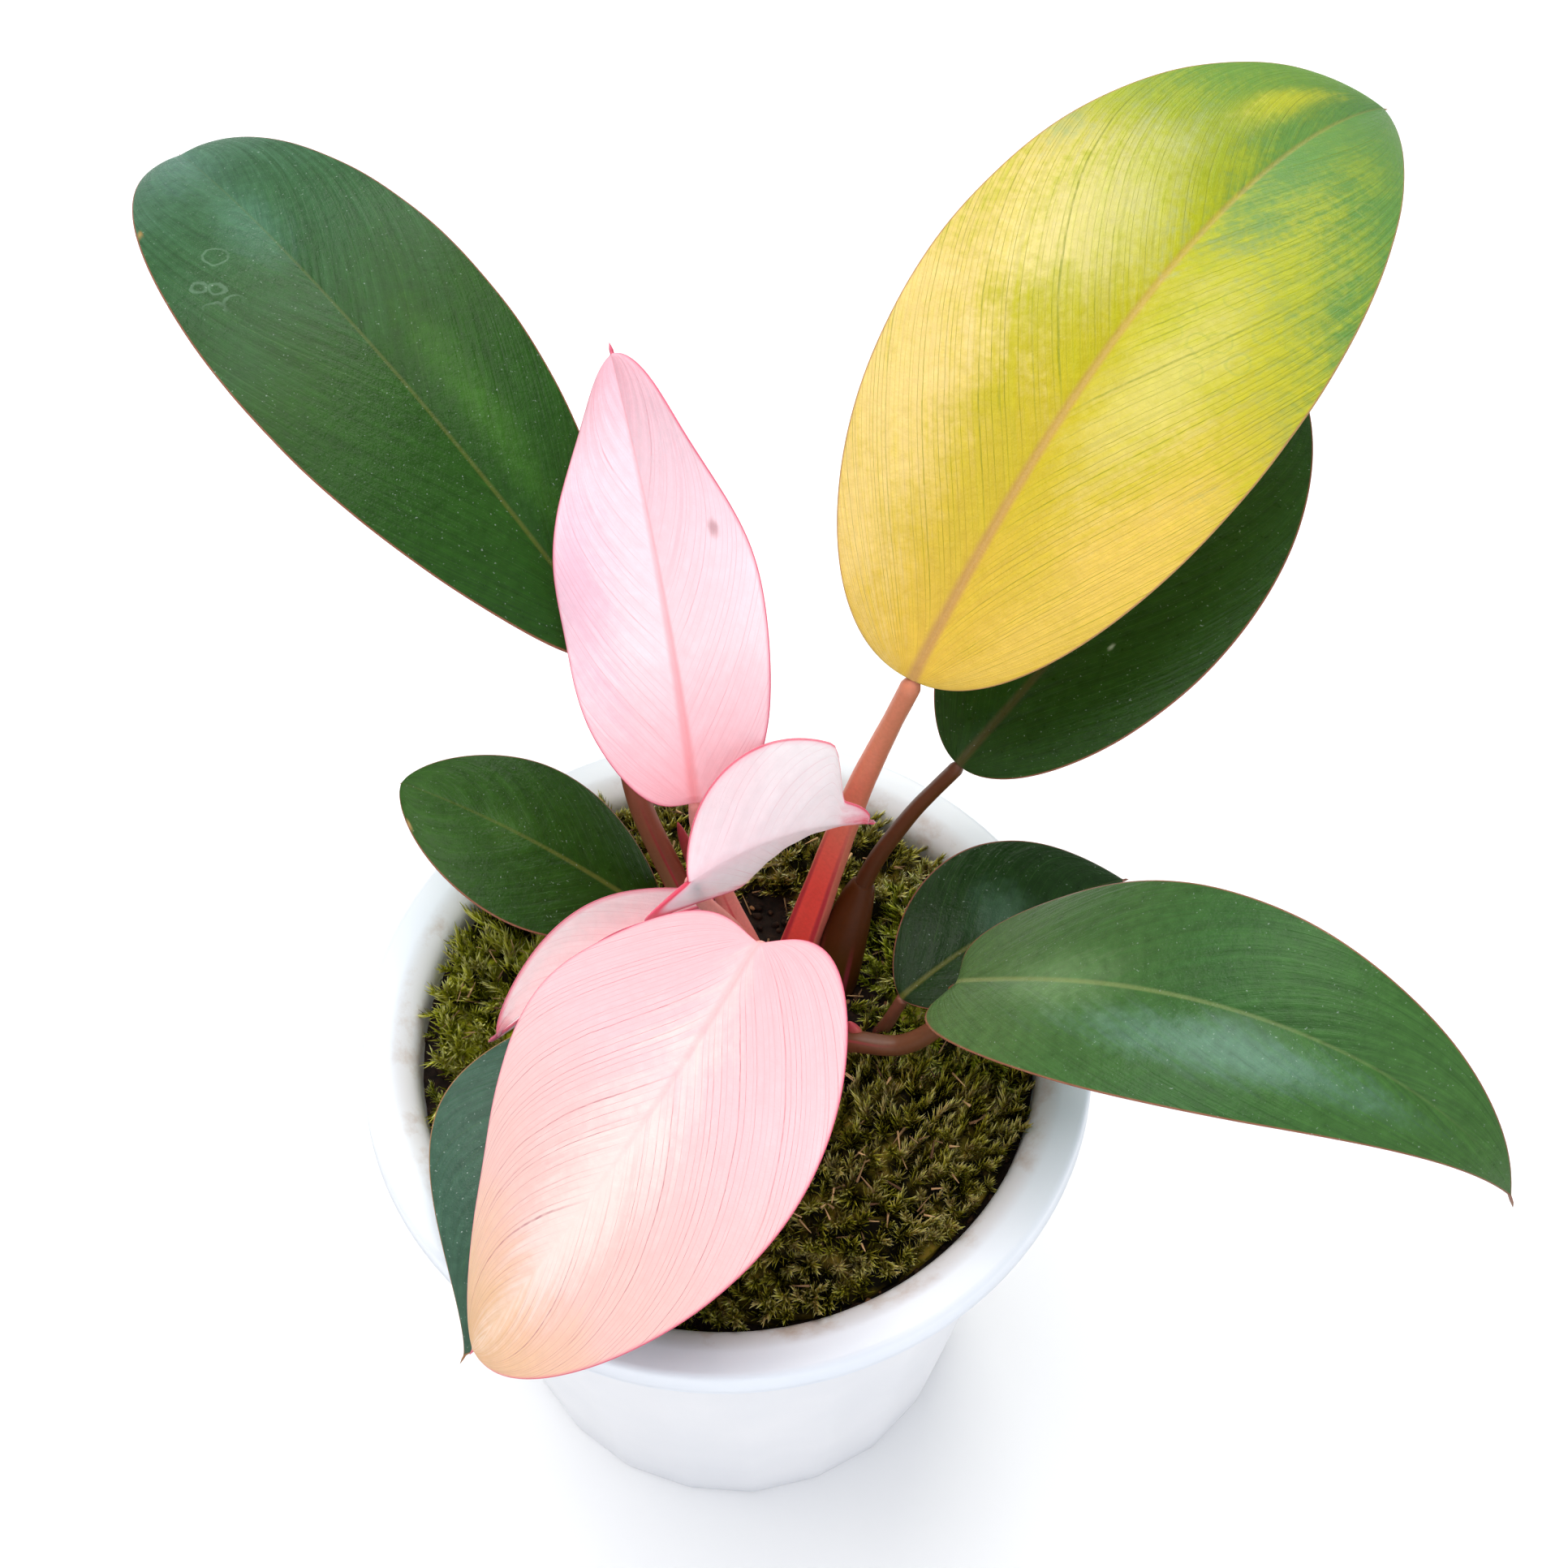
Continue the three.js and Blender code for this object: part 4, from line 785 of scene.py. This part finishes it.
    rough = add_node(tree, "MapRange", {"Value": tone, "From Min": 0.2, "From Max": 0.8, "To Min": look.get("roughness", 0.4) - 0.05,
                                        "To Max": look.get("roughness", 0.4) + 0.08}, out="Result")
    if "rings" in look:
        centre_u, centre_v, reach_u, reach_v, strength = look["rings"]
        off_u = add_node(tree, "Math", {0: u, 1: -centre_u}, operation="ADD")
        off_u = add_node(tree, "Math", {0: off_u, 1: reach_u}, operation="DIVIDE")
        off_v = add_node(tree, "Math", {0: v, 1: -centre_v}, operation="ADD")
        off_v = add_node(tree, "Math", {0: off_v, 1: reach_v}, operation="DIVIDE")
        off = add_node(tree, "CombineXYZ", {"X": off_u, "Y": off_v}, out="Vector")
        away = add_node(tree, "VectorMath", {0: off}, operation="LENGTH", out="Value")
        near = add_node(tree, "MapRange", {"Value": away, "From Min": 1.0, "From Max": 0.7, "To Min": 0.0,
                                           "To Max": strength}, out="Result")
        wobble = add_node(tree, "TexNoise", {"Vector": place, "Scale": 1 / (2.5 * MM)}, out="Color")
        shaken_place = add_node(tree, "VectorMath", {0: wobble, 1: (1.5 * MM, 1.5 * MM, 1.5 * MM), 2: place},
                                operation="MULTIPLY_ADD", out="Vector")
        drop = add_node(tree, "TexVoronoi", {"Vector": shaken_place, "Scale": 1 / (7 * MM)}, out="Distance")
        from_line = add_node(tree, "Math", {0: drop, 1: 0.33}, operation="SUBTRACT")
        from_line = add_node(tree, "Math", {0: from_line}, operation="ABSOLUTE")
        line = add_node(tree, "MapRange", {"Value": from_line, "From Min": 0.05, "From Max": 0.02, "To Min": 0.0,
                                           "To Max": 1.0}, out="Result")
        line = add_node(tree, "Math", {0: line, 1: near}, operation="MULTIPLY")
        colour = add_node(tree, "Mix", {"Factor": line, "A": colour, "B": linear(look["ring_tint"])}, data_type="RGBA")
        rough = add_node(tree, "Math", {0: line, 1: 0.4, 2: rough}, operation="MULTIPLY_ADD")
    if "dust" in look:
        motes = add_node(tree, "TexNoise", {"Vector": place, "Scale": 1 / (0.55 * MM), "Detail": 1.0}, out="Fac")
        mote = add_node(tree, "MapRange", {"Value": motes, "From Min": 0.71, "From Max": 0.8, "To Min": 0.0, "To Max": look["dust"]}, out="Result")
        colour = add_node(tree, "Mix", {"Factor": mote, "A": colour, "B": linear("#c9d6cf")}, data_type="RGBA")
    tree.links.new(colour, shader.inputs["Base Color"])
    tree.links.new(rough, shader.inputs["Roughness"])

    cell = add_node(tree, "TexNoise", {"Vector": place, "Scale": 1 / (0.45 * MM), "Detail": 2.0}, out="Fac")
    skin_height = add_node(tree, "Math", {0: cell, 1: 0.5, 2: hammer}, operation="MULTIPLY_ADD")
    skin_height = add_node(tree, "Math", {0: grain, 1: look.get("grain_bump", 2.0), 2: skin_height}, operation="MULTIPLY_ADD")
    skin_height = add_node(tree, "Math", {0: fine_line, 1: look.get("vein_bump", -0.8), 2: skin_height}, operation="MULTIPLY_ADD")
    bump = add_node(tree, "Bump", {"Height": skin_height, "Strength": look.get("bump", 0.25), "Distance": 0.3 * MM}, out="Normal")
    tree.links.new(bump, shader.inputs["Normal"])
    return leaf


GREEN_LOOK = {
    "stops": [(0.0, "#2c5419"), (1.0, "#3f6c35"), (0.5, "#346022")], "vein": "#4f7a35", "vein_strength": 0.2,
    "rib": "#6b6a2e", "rib_width": 0.8, "rib_strength": 0.6, "rib_end": 1.2, "under": "#7fa080",
    "margins": [("#9a5a4a", 0.45, 0.85)], "roughness": 0.3, "mottle": 0.16, "streak": 0.24, "bump": 0.55,
    "specular": 0.2, "dust": 0.25, "glow": 0.03}
PINK_LOOK = {
    "stops": [(0.0, "#f6b0ba"), (1.0, "#f9ccd2")], "vein": "#d97a8a", "vein_strength": 0.6, "rib": "#f19aa0",
    "rib_width": 1.5, "rib_strength": 0.8, "rib_end": 1.2, "under": "#f9cfd6", "streak": 0.03,
    "margins": [("#e5788f", 0.8, 0.5), ("#cf4a6a", 0.3, 0.8)], "roughness": 0.45,
    "mottle": 0.04, "bump": 0.2, "glow": 0.25, "depth": 1.2, "through": (1.0, 0.5, 0.5), "vein_width": 0.08,
    "specular": 0.3, "wander": 0.12}
LOOKS = {
    "green_tall_left": {**GREEN_LOOK, "rib_strength": 0.45, "rib_width": 0.7, "stops": [(0.0, "#1f4210"), (1.0, "#486b55"), (0.5, "#22480f"), (0.82, "#335838")],
                        "rings": (0.72, 0.62, 0.09, 0.28, 0.22), "ring_tint": "#86a38c",
                        # The two blue-green patches toward the tip are painted sheen; the green patch and the brown
                        # mark are the leaf's own colour.
                        "patches_and_painted_sheen": [("#56806a", 0.77, 0.05, 0.12, 0.4, 0.45), ("#5b8072", 1.0, 0.3, 0.16, 0.9, 0.6),
                                    ("#3c6a1e", 0.35, -0.35, 0.2, 0.25, 0.6), ("#a5834a", 0.83, 0.96, 0.012, 0.05, 1.0)]},
    "pink_upright": {**PINK_LOOK, "stops": [(0.0, "#f6b2bb"), (1.0, "#f4b4c3"), (0.35, "#f9d9df"), (0.75, "#f7d2dc")],
                     # The lilac patch over the left half is painted shade.
                     "patches_and_painted_sheen": [("#e6b0c6", 0.5, 0.8, 0.36, 0.5, 0.6), ("#b98a90", 0.565, -0.74, 0.02, 0.06, 0.7)]},
    "yellow_large": {
        "stops": [(0.0, "#cfa941"), (1.0, "#4f7a34"), (0.35, "#b7a81c"), (0.6, "#a3a616"), (0.84, "#809630")],
        "patches_and_painted_sheen": [("#e0c478", 0.3, 0.85, 0.44, 0.6, 0.9), ("#d6b450", 0.17, -0.8, 0.3, 0.5, 0.85),
                    ("#4f7a3c", 1.02, 0.0, 0.44, 2.0, 1.0), ("#57823a", 0.76, -1.0, 0.42, 0.7, 1.0),
                    ("#5c863e", 0.77, -0.15, 0.2, 0.46, 1.0), ("#638b38", 0.9, 0.95, 0.3, 0.75, 1.0),
                    ("#aeb02c", 0.83, 0.42, 0.13, 0.2, 0.85),
                    # The two pale cream patches over the middle are painted highlights.
                    ("#dfd898", 0.54, 0.48, 0.22, 0.5, 0.4), ("#dcd388", 0.41, -0.36, 0.2, 0.42, 0.35)],
        "vein": "#6d7a18", "vein_strength": 0.75, "vein_width": 0.11, "rib": "#b58a50", "rib_width": 1.6,
        "rib_strength": 0.95, "rib_end": 1.1, "under": "#dfe08a", "margins": [("#a87658", 0.5, 0.8)],
        "roughness": 0.36, "mottle": 0.07, "streak": 0.08, "bump": 0.5, "glow": 0.1, "through": (0.9, 1.0, 0.2),
        "fray": 1.2, "fray_along": 1.1, "fray_fine": 0.7, "specular": 0.22,
        "rings": (0.6, -0.55, 0.22, 0.5, 0.3), "ring_tint": "#8f9c48"},
    "green_tall_right": {**GREEN_LOOK, "stops": [(0.0, "#1f3e0a"), (1.0, "#274a18")], "rib": "#5b4a2c", "rib_width": 1.2,
                         "rib_end": 0.8, "patches_and_painted_sheen": [("#a9b39a", 0.31, -0.33, 0.012, 0.03, 0.9)]},
    "green_small_left": {**GREEN_LOOK, "stops": [(0.0, "#1a3305"), (1.0, "#2f5518"), (0.5, "#1f3f07")],
                         "patches_and_painted_sheen": [("#a98a55", 0.9, 0.93, 0.025, 0.07, 1.0), ("#3f6426", 0.6, 0.0, 0.14, 0.4, 0.5)]},
    "pink_folded": {**PINK_LOOK, "stops": [(0.0, "#fbd0d8"), (1.0, "#f8b4c0"), (0.7, "#fde0e4")], "rib_strength": 0.1,
                    "margins": [("#f29aaa", 1.6, 0.5), ("#cf2a4c", 0.7, 0.95)], "vein_strength": 0.4,
                    "under": "#ffdbe3", "glow": 0.9, "depth": 3.5, "through": (1.0, 0.8, 0.8),
                    # The grey-white patch at the rounded base of the right half is a painted reflection.
                    "patches_and_painted_sheen": [("#ffe6ec", 0.5, -0.5, 0.7, 0.6, 0.9), ("#d9d5dc", 0.03, -0.8, 0.12, 0.5, 0.5),
                                 ("#cf2a4c", 0.55, -1.0, 0.6, 0.2, 0.9), ("#d93452", 1.0, 0.0, 0.2, 3.0, 1.0)]},
    "pink_small_left": {**PINK_LOOK, "stops": [(0.0, "#f7c4cb"), (1.0, "#f3b3bd"), (0.55, "#fbdfe1"), (0.9, "#fbe1e2")],
                        "margins": [("#ea7f95", 1.2, 0.6), ("#b8485e", 0.35, 0.85)], "vein_strength": 0.3,
                        "patches_and_painted_sheen": [("#cf2f50", 1.0, 0.0, 0.12, 3.0, 1.0)],
                        "glow": 0.6, "depth": 2.5},
    "pink_large": {**PINK_LOOK, "stops": [(0.0, "#f2adb4"), (1.0, "#d0a877"), (0.3, "#f4bfc4"), (0.7, "#f1c1b8"),
                                          (0.88, "#e6bc98")],
                   # The pale patch over the middle is a painted highlight.
                   "patches_and_painted_sheen": [("#faeae2", 0.58, 0.02, 0.5, 0.5, 0.55), ("#f6d8d4", 0.1, 0.0, 0.2, 0.3, 0.4)],
                   "vein": "#a9626c", "vein_strength": 0.85, "vein_width": 0.1, "rib": "#f1a5a9", "rib_width": 1.1, "rib_end": 0.6,
                   "rib_strength": 0.6, "fray_along": 1.8},
    "green_low_front": {**GREEN_LOOK, "stops": [(0.0, "#375446"), (1.0, "#405e4c")], "margins": [("#b07a50", 0.4, 0.85)],
                        "dust": 0.5},
    "green_small_right": {**GREEN_LOOK, "stops": [(0.0, "#142c0a"), (1.0, "#203c16")],
                          "patches_and_painted_sheen": [("#4f6e58", 0.45, 0.1, 0.16, 0.5, 0.5)]},
    "green_front_right": {**GREEN_LOOK, "stops": [(0.0, "#4f6e3c"), (1.0, "#436a30"), (0.45, "#335a2a")],
                          "rib": "#8f9a60", "rib_end": 0.9,
                          # Both pale blue-green patches are painted sheen: one across the middle, one near the base.
                          "patches_and_painted_sheen": [("#6d9282", 0.5, -0.4, 0.34, 0.34, 0.5), ("#7a9c6a", 0.2, 0.0, 0.14, 0.5, 0.5)]},
}
SLOTS = {"green": "green_leaf", "pink": "pink_leaf", "yellow": "yellow_leaf"}

for name, leaf in LEAVES.items():
    slot = "pale_pink_leaf" if name == "pink_folded" else SLOTS[name.split("_")[0]]
    small = leaf["length"] < 70
    skin = blade_skin(leaf, midrib_of(leaf), 80 if small else 104, 84 if small else 120)
    new_piece("leaf_" + name, skin, leaf_material("waxy_leaf_" + name, LOOKS[name]), slot, "blade_" + name)


# The leaf stalks
# Fleshy round petioles, red or salmon on young leaves and brown on old ones. The foot of a stalk
# is wider, grooved in front where it sheathed the next leaf, and edged with thin red wings.
BURIED = 108
GROOVE_SIDE = Vector((-0.5, -0.86, 0.15))


def smooth_course(points):
    """A point on a smooth curve through the points, and its direction, by the share of its length."""
    points = [points[0] * 2 - points[1], *points, points[-1] * 2 - points[-2]]
    trace = []
    for p0, p1, p2, p3 in zip(points, points[1:], points[2:], points[3:]):
        k0, k1, k2 = [max((b - a).length, 1e-6) ** 0.5 for a, b in ((p0, p1), (p1, p2), (p2, p3))]
        lead_in = ((p1 - p0) / k0 - (p2 - p0) / (k0 + k1) + (p2 - p1) / k1) * k1
        lead_out = ((p2 - p1) / k1 - (p3 - p1) / (k1 + k2) + (p3 - p2) / k2) * k1
        for step in range(24):
            t = step / 24
            trace.append(p1 * (2 * t ** 3 - 3 * t * t + 1) + lead_in * (t ** 3 - 2 * t * t + t)
                         + p2 * (3 * t * t - 2 * t ** 3) + lead_out * (t ** 3 - t * t))
    trace.append(points[-2])
    reach = [0.0]
    for a, b in zip(trace, trace[1:]):
        reach.append(reach[-1] + (b - a).length)

    def at(share):
        goal = min(max(share, 0), 1) * reach[-1]
        k = next((k for k in range(1, len(reach)) if reach[k] >= goal), len(reach) - 1)
        part = (goal - reach[k - 1]) / max(reach[k] - reach[k - 1], 1e-9)
        return trace[k - 1].lerp(trace[k], part), (trace[min(k + 1, len(trace) - 1)] - trace[max(k - 2, 0)]).normalized()

    return at


def stalk_course(leaf):
    """The stalk's course, from its buried foot to the base of its blade."""
    point, along, side, face = midrib_of(leaf)(0)
    end = point - face * 0.4 * leaf["thick"][1] + along * 0.8
    x, y, _ = leaf["stalk"][0]
    return smooth_course([Vector((x, y, BURIED)), *[Vector(p) for p in leaf["stalk"]], end])


def stalk_skin(leaf, course, around=48, along=110):
    """The stalk as a closed tapering skin, with its groove and the ridges beside it."""
    low, high = leaf["thick"]

    def place(a, b):
        middle, way = course(b)
        turn = 2 * math.pi * a
        front = GROOVE_SIDE - way * GROOVE_SIDE.dot(way)
        front.normalize()
        flank = way.cross(front)
        radius = lerp(low, high, min(b * 1.15, 1) ** 0.8)
        depth = leaf["groove"] * min(max(1.4 - 2 * b, 0), 1)
        facing = max(math.cos(turn), 0)
        ridge = 0.1 * depth * math.exp(-((abs(math.atan2(math.sin(turn), math.cos(turn))) - 0.85) / 0.22) ** 2)
        around_radius = radius * (1 - depth * facing ** 5 + ridge * 4)
        around_radius *= 1 + 0.02 * noise.noise(Vector((b * 14, math.cos(turn), math.sin(turn) + low)))
        around_radius *= min(1, b * 80, (1 - b) * 40) ** 0.5
        spot = middle + front * (math.cos(turn) * around_radius) + flank * (math.sin(turn) * around_radius)
        return spot, (b, math.cos(turn), math.sin(turn))

    return wrapped_skin(around, along, ["rise", "front", "flank"], place)


def stalk_material(name, foot, top, channel, line, specular=0.35):
    """Smooth fleshy skin, streaked along, with the colour of the groove and of its two edges."""
    stalk, tree, shader = new_material(name, Roughness=0.4, Subsurface_Weight=0.15, Subsurface_Scale=1.0 * MM)
    shader.inputs["Subsurface Radius"].default_value = (1.0, 0.4, 0.3)
    shader.inputs["Specular IOR Level"].default_value = specular
    place = add_node(tree, "TexCoord", out="Object")
    rise = add_node(tree, "Attribute", out="Fac", attribute_name="rise")
    front = add_node(tree, "Attribute", out="Fac", attribute_name="front")
    long_way = add_node(tree, "Mapping", {"Vector": place, "Scale": (1.0, 1.0, 0.15)}, out="Vector")
    streak = add_node(tree, "TexNoise", {"Vector": long_way, "Scale": 1 / (0.9 * MM), "Detail": 4.0}, out="Fac")
    streak_off = add_node(tree, "Math", {0: streak, 1: 0.3, 2: rise}, operation="MULTIPLY_ADD")
    colour = add_node(tree, "ValToRGB", {"Fac": streak_off}, stops=[(0.15, foot), (1.0, top)])
    low_part = add_node(tree, "MapRange", {"Value": rise, "From Min": 0.68, "From Max": 0.35, "To Min": 0.0, "To Max": 1.0},
                        interpolation_type="SMOOTHSTEP", out="Result")
    in_groove = add_node(tree, "MapRange", {"Value": front, "From Min": 0.7, "From Max": 0.84, "To Min": 0.0, "To Max": 0.9},
                         interpolation_type="SMOOTHSTEP", out="Result")
    in_groove = add_node(tree, "Math", {0: in_groove, 1: low_part}, operation="MULTIPLY")
    colour = add_node(tree, "Mix", {"Factor": in_groove, "A": colour, "B": linear(channel)}, data_type="RGBA")
    off_edge = add_node(tree, "Math", {0: front, 1: 0.72}, operation="SUBTRACT")
    off_edge = add_node(tree, "Math", {0: off_edge}, operation="ABSOLUTE")
    on_edge = add_node(tree, "MapRange", {"Value": off_edge, "From Min": 0.12, "From Max": 0.03, "To Min": 0.0, "To Max": 0.85},
                       interpolation_type="SMOOTHSTEP", out="Result")
    on_edge = add_node(tree, "Math", {0: on_edge, 1: low_part}, operation="MULTIPLY")
    colour = add_node(tree, "Mix", {"Factor": on_edge, "A": colour, "B": linear(line)}, data_type="RGBA")
    fleck = add_node(tree, "TexNoise", {"Vector": place, "Scale": 1 / (0.7 * MM), "Detail": 3.0}, out="Fac")
    light = add_node(tree, "MapRange", {"Value": fleck, "From Min": 0.25, "From Max": 0.75, "To Min": 0.93, "To Max": 1.07}, out="Result")
    colour = add_node(tree, "Mix", {"Factor": 1.0, "A": colour, "B": light}, data_type="RGBA", blend_type="MULTIPLY")
    tree.links.new(colour, shader.inputs["Base Color"])
    bump = add_node(tree, "Bump", {"Height": streak, "Strength": 0.25, "Distance": 0.1 * MM}, out="Normal")
    tree.links.new(bump, shader.inputs["Normal"])
    return stalk


BROWN_STALK = ("#6a3a2c", "#7a4b38", "#8d5a45", "#a03040")
SALMON_STALK = ("#e8837a", "#f2a39a", "#ef9088", "#d9505a")
STALK_COLOURS = {
    "green_tall_left": ("#7d3a2b", "#8d513a", "#a07050", "#b0303f"),
    "yellow_large": ("#df6a60", "#d08060", "#f55248", "#b9243a"),
    "green_tall_right": ("#3e1e0a", "#5c3216", "#4e2a12", "#5e2e1c"),
    "green_front_right": ("#5a2e1c", "#6a4228", "#78402c", "#a83644"),
}
STALK_SLOTS = {"green": "brown_stalk", "pink": "salmon_stalk", "yellow": "red_stalk"}

for name, leaf in LEAVES.items():
    kind = name.split("_")[0]
    colours = STALK_COLOURS.get(name, SALMON_STALK if kind == "pink" else BROWN_STALK)
    new_piece("stalk_" + name, stalk_skin(leaf, stalk_course(leaf)), stalk_material("fleshy_stalk_" + name, *colours),
              STALK_SLOTS[kind], "petiole_" + name)


# The dry leaf sheath
# A cataphyll, the papery brown scale that wrapped a new leaf, still round the foot of one stalk:
# a spindle open down one side, olive brown with a crimson edge and point.
SHEATH_RADIUS = 4.8
SHEATH_SPAN = (0.05, 0.5)
sheathed = LEAVES["green_tall_right"]
sheathed_course = stalk_course(sheathed)


def sheath_place(a, b):
    """The sheath swells to its middle and closes on the stalk above and below."""
    middle, way = sheathed_course(lerp(*SHEATH_SPAN, b))
    turn = 2 * math.pi * a
    front = GROOVE_SIDE - way * GROOVE_SIDE.dot(way)
    front.normalize()
    flank = way.cross(front)
    stalk = lerp(*sheathed["thick"], min(lerp(*SHEATH_SPAN, b) * 1.15, 1) ** 0.8)
    radius = lerp(stalk, SHEATH_RADIUS, math.sin(math.pi * min(max(b, 0.02), 0.98)) ** (0.6 if b > 0.5 else 0.9))
    radius *= 1 + 0.05 * math.exp(-(math.atan2(math.sin(turn), math.cos(turn)) / 0.3) ** 2)
    radius *= min(1, b * 60, (1 - b) * 60) ** 0.5
    bulge = front * (1.4 * math.sin(math.pi * b))
    spot = middle + bulge + front * (math.cos(turn) * radius * 0.85) + flank * (math.sin(turn) * radius)
    return spot, (b, math.cos(turn), math.sin(turn))


sheath_skin = wrapped_skin(48, 70, ["rise", "front", "flank"], sheath_place)
new_piece("papery_sheath", sheath_skin, stalk_material("dry_papery_sheath", "#361a06", "#4c260c", "#46300a", "#86303a", 0.12),
          "papery_sheath", "sheath_green_tall_right")


# The stipule tips
# Where a stalk's foot sheathed the next leaf, the thin edges of its groove run up into a small free
# point, tan below and red at its tip. Two of them stand clear of their stalks.
STIPULES = {
    "green_tall_left": {"foot": (-3.5, 24.5, 133), "tip": (-10.1, 31.8, 156), "wide": 1.7, "deep": 1.1},
    "green_front_right": {"foot": (27.5, -6, 131), "tip": (24.5, -4, 137.5), "wide": 1.7, "deep": 1.0},
}

for name, stipule in STIPULES.items():
    foot = Vector(stipule["foot"])
    way = Vector(stipule["tip"]) - foot
    across = way.cross(GROOVE_SIDE).normalized()
    deep = way.cross(across).normalized()

    def stipule_place(a, b):
        """A flat spindle that ends in a point."""
        turn = 2 * math.pi * a
        swell = math.sin(math.pi * min(b ** 1.3, 1)) ** 0.7 if 0 < b < 1 else 0
        side = across * (math.cos(turn) * swell * stipule["wide"])
        return foot + way * b + side + deep * (math.sin(turn) * swell * stipule["deep"]), (b, math.cos(turn), 0)

    free_tip = wrapped_skin(28, 36, ["rise", "front", "flank"], stipule_place)
    skin = stalk_material("stipule_of_" + name, "#a8744a", "#a83c44", "#ac8458", "#9c2a3a")
    new_piece("stipule_" + name, free_tip, skin, "brown_stalk")


# The floor, the lights and the camera
# A white floor under a bright, even studio sky, with soft lights above, behind and in front of the plant;
# the one behind draws the sheen on the leaves. The camera looks down on the plant from in front.
floor = bmesh.new()
bmesh.ops.create_grid(floor, x_segments=1, y_segments=1, size=4)
floor_mesh = bpy.data.meshes.new("studio_floor")
floor.to_mesh(floor_mesh)
floor.free()
paper, tree, shader = new_material("white_paper", Roughness=0.8)
shader.inputs["Base Color"].default_value = linear("#ffffff")
shader.inputs["Specular IOR Level"].default_value = 0.1
floor_mesh.materials.append(paper)
studio_floor = bpy.data.objects.new("studio_floor", floor_mesh)
bpy.context.scene.collection.objects.link(studio_floor)

world = bpy.data.worlds.new("studio_sky")
world.use_nodes = True
world.node_tree.nodes["Background"].inputs["Color"].default_value = linear("#f6f9ff")
world.node_tree.nodes["Background"].inputs["Strength"].default_value = 0.52
bpy.context.scene.world = world


def soft_light(name, place, aim, size, power, colour):
    """A square softbox at a place in metres, turned to face what it lights."""
    lamp = bpy.data.lights.new(name, "AREA")
    lamp.size = size
    lamp.energy = power
    lamp.color = linear(colour)[:3]
    light = bpy.data.objects.new(name, lamp)
    light.location = place
    light.rotation_euler = (Vector(place) - Vector(aim)).to_track_quat("Z", "Y").to_euler()
    bpy.context.scene.collection.objects.link(light)


soft_light("top_softbox", (-0.3, 0.2, 1.7), (0, 0, 0.15), 1.5, 24, "#fffdfa")
soft_light("back_softbox", (0.2, 1.2, 1.3), (0, 0, 0.15), 0.8, 10, "#fffdf8")
soft_light("front_softbox", (0.5, -1.5, 1.0), (0, 0, 0.1), 1.6, 9.5, "#f4f7ff")

camera_data = bpy.data.cameras.new("camera")
camera_data.sensor_width = 36
camera_data.lens = 52.17
camera_data.clip_start = 0.01
camera = bpy.data.objects.new("camera", camera_data)
camera.location = (0.0115, -0.2300, 0.5353)
camera.rotation_euler = (math.radians(35.56), 0, 0)
bpy.context.scene.collection.objects.link(camera)
bpy.context.scene.camera = camera
bpy.context.scene.view_settings.view_transform = "Standard"
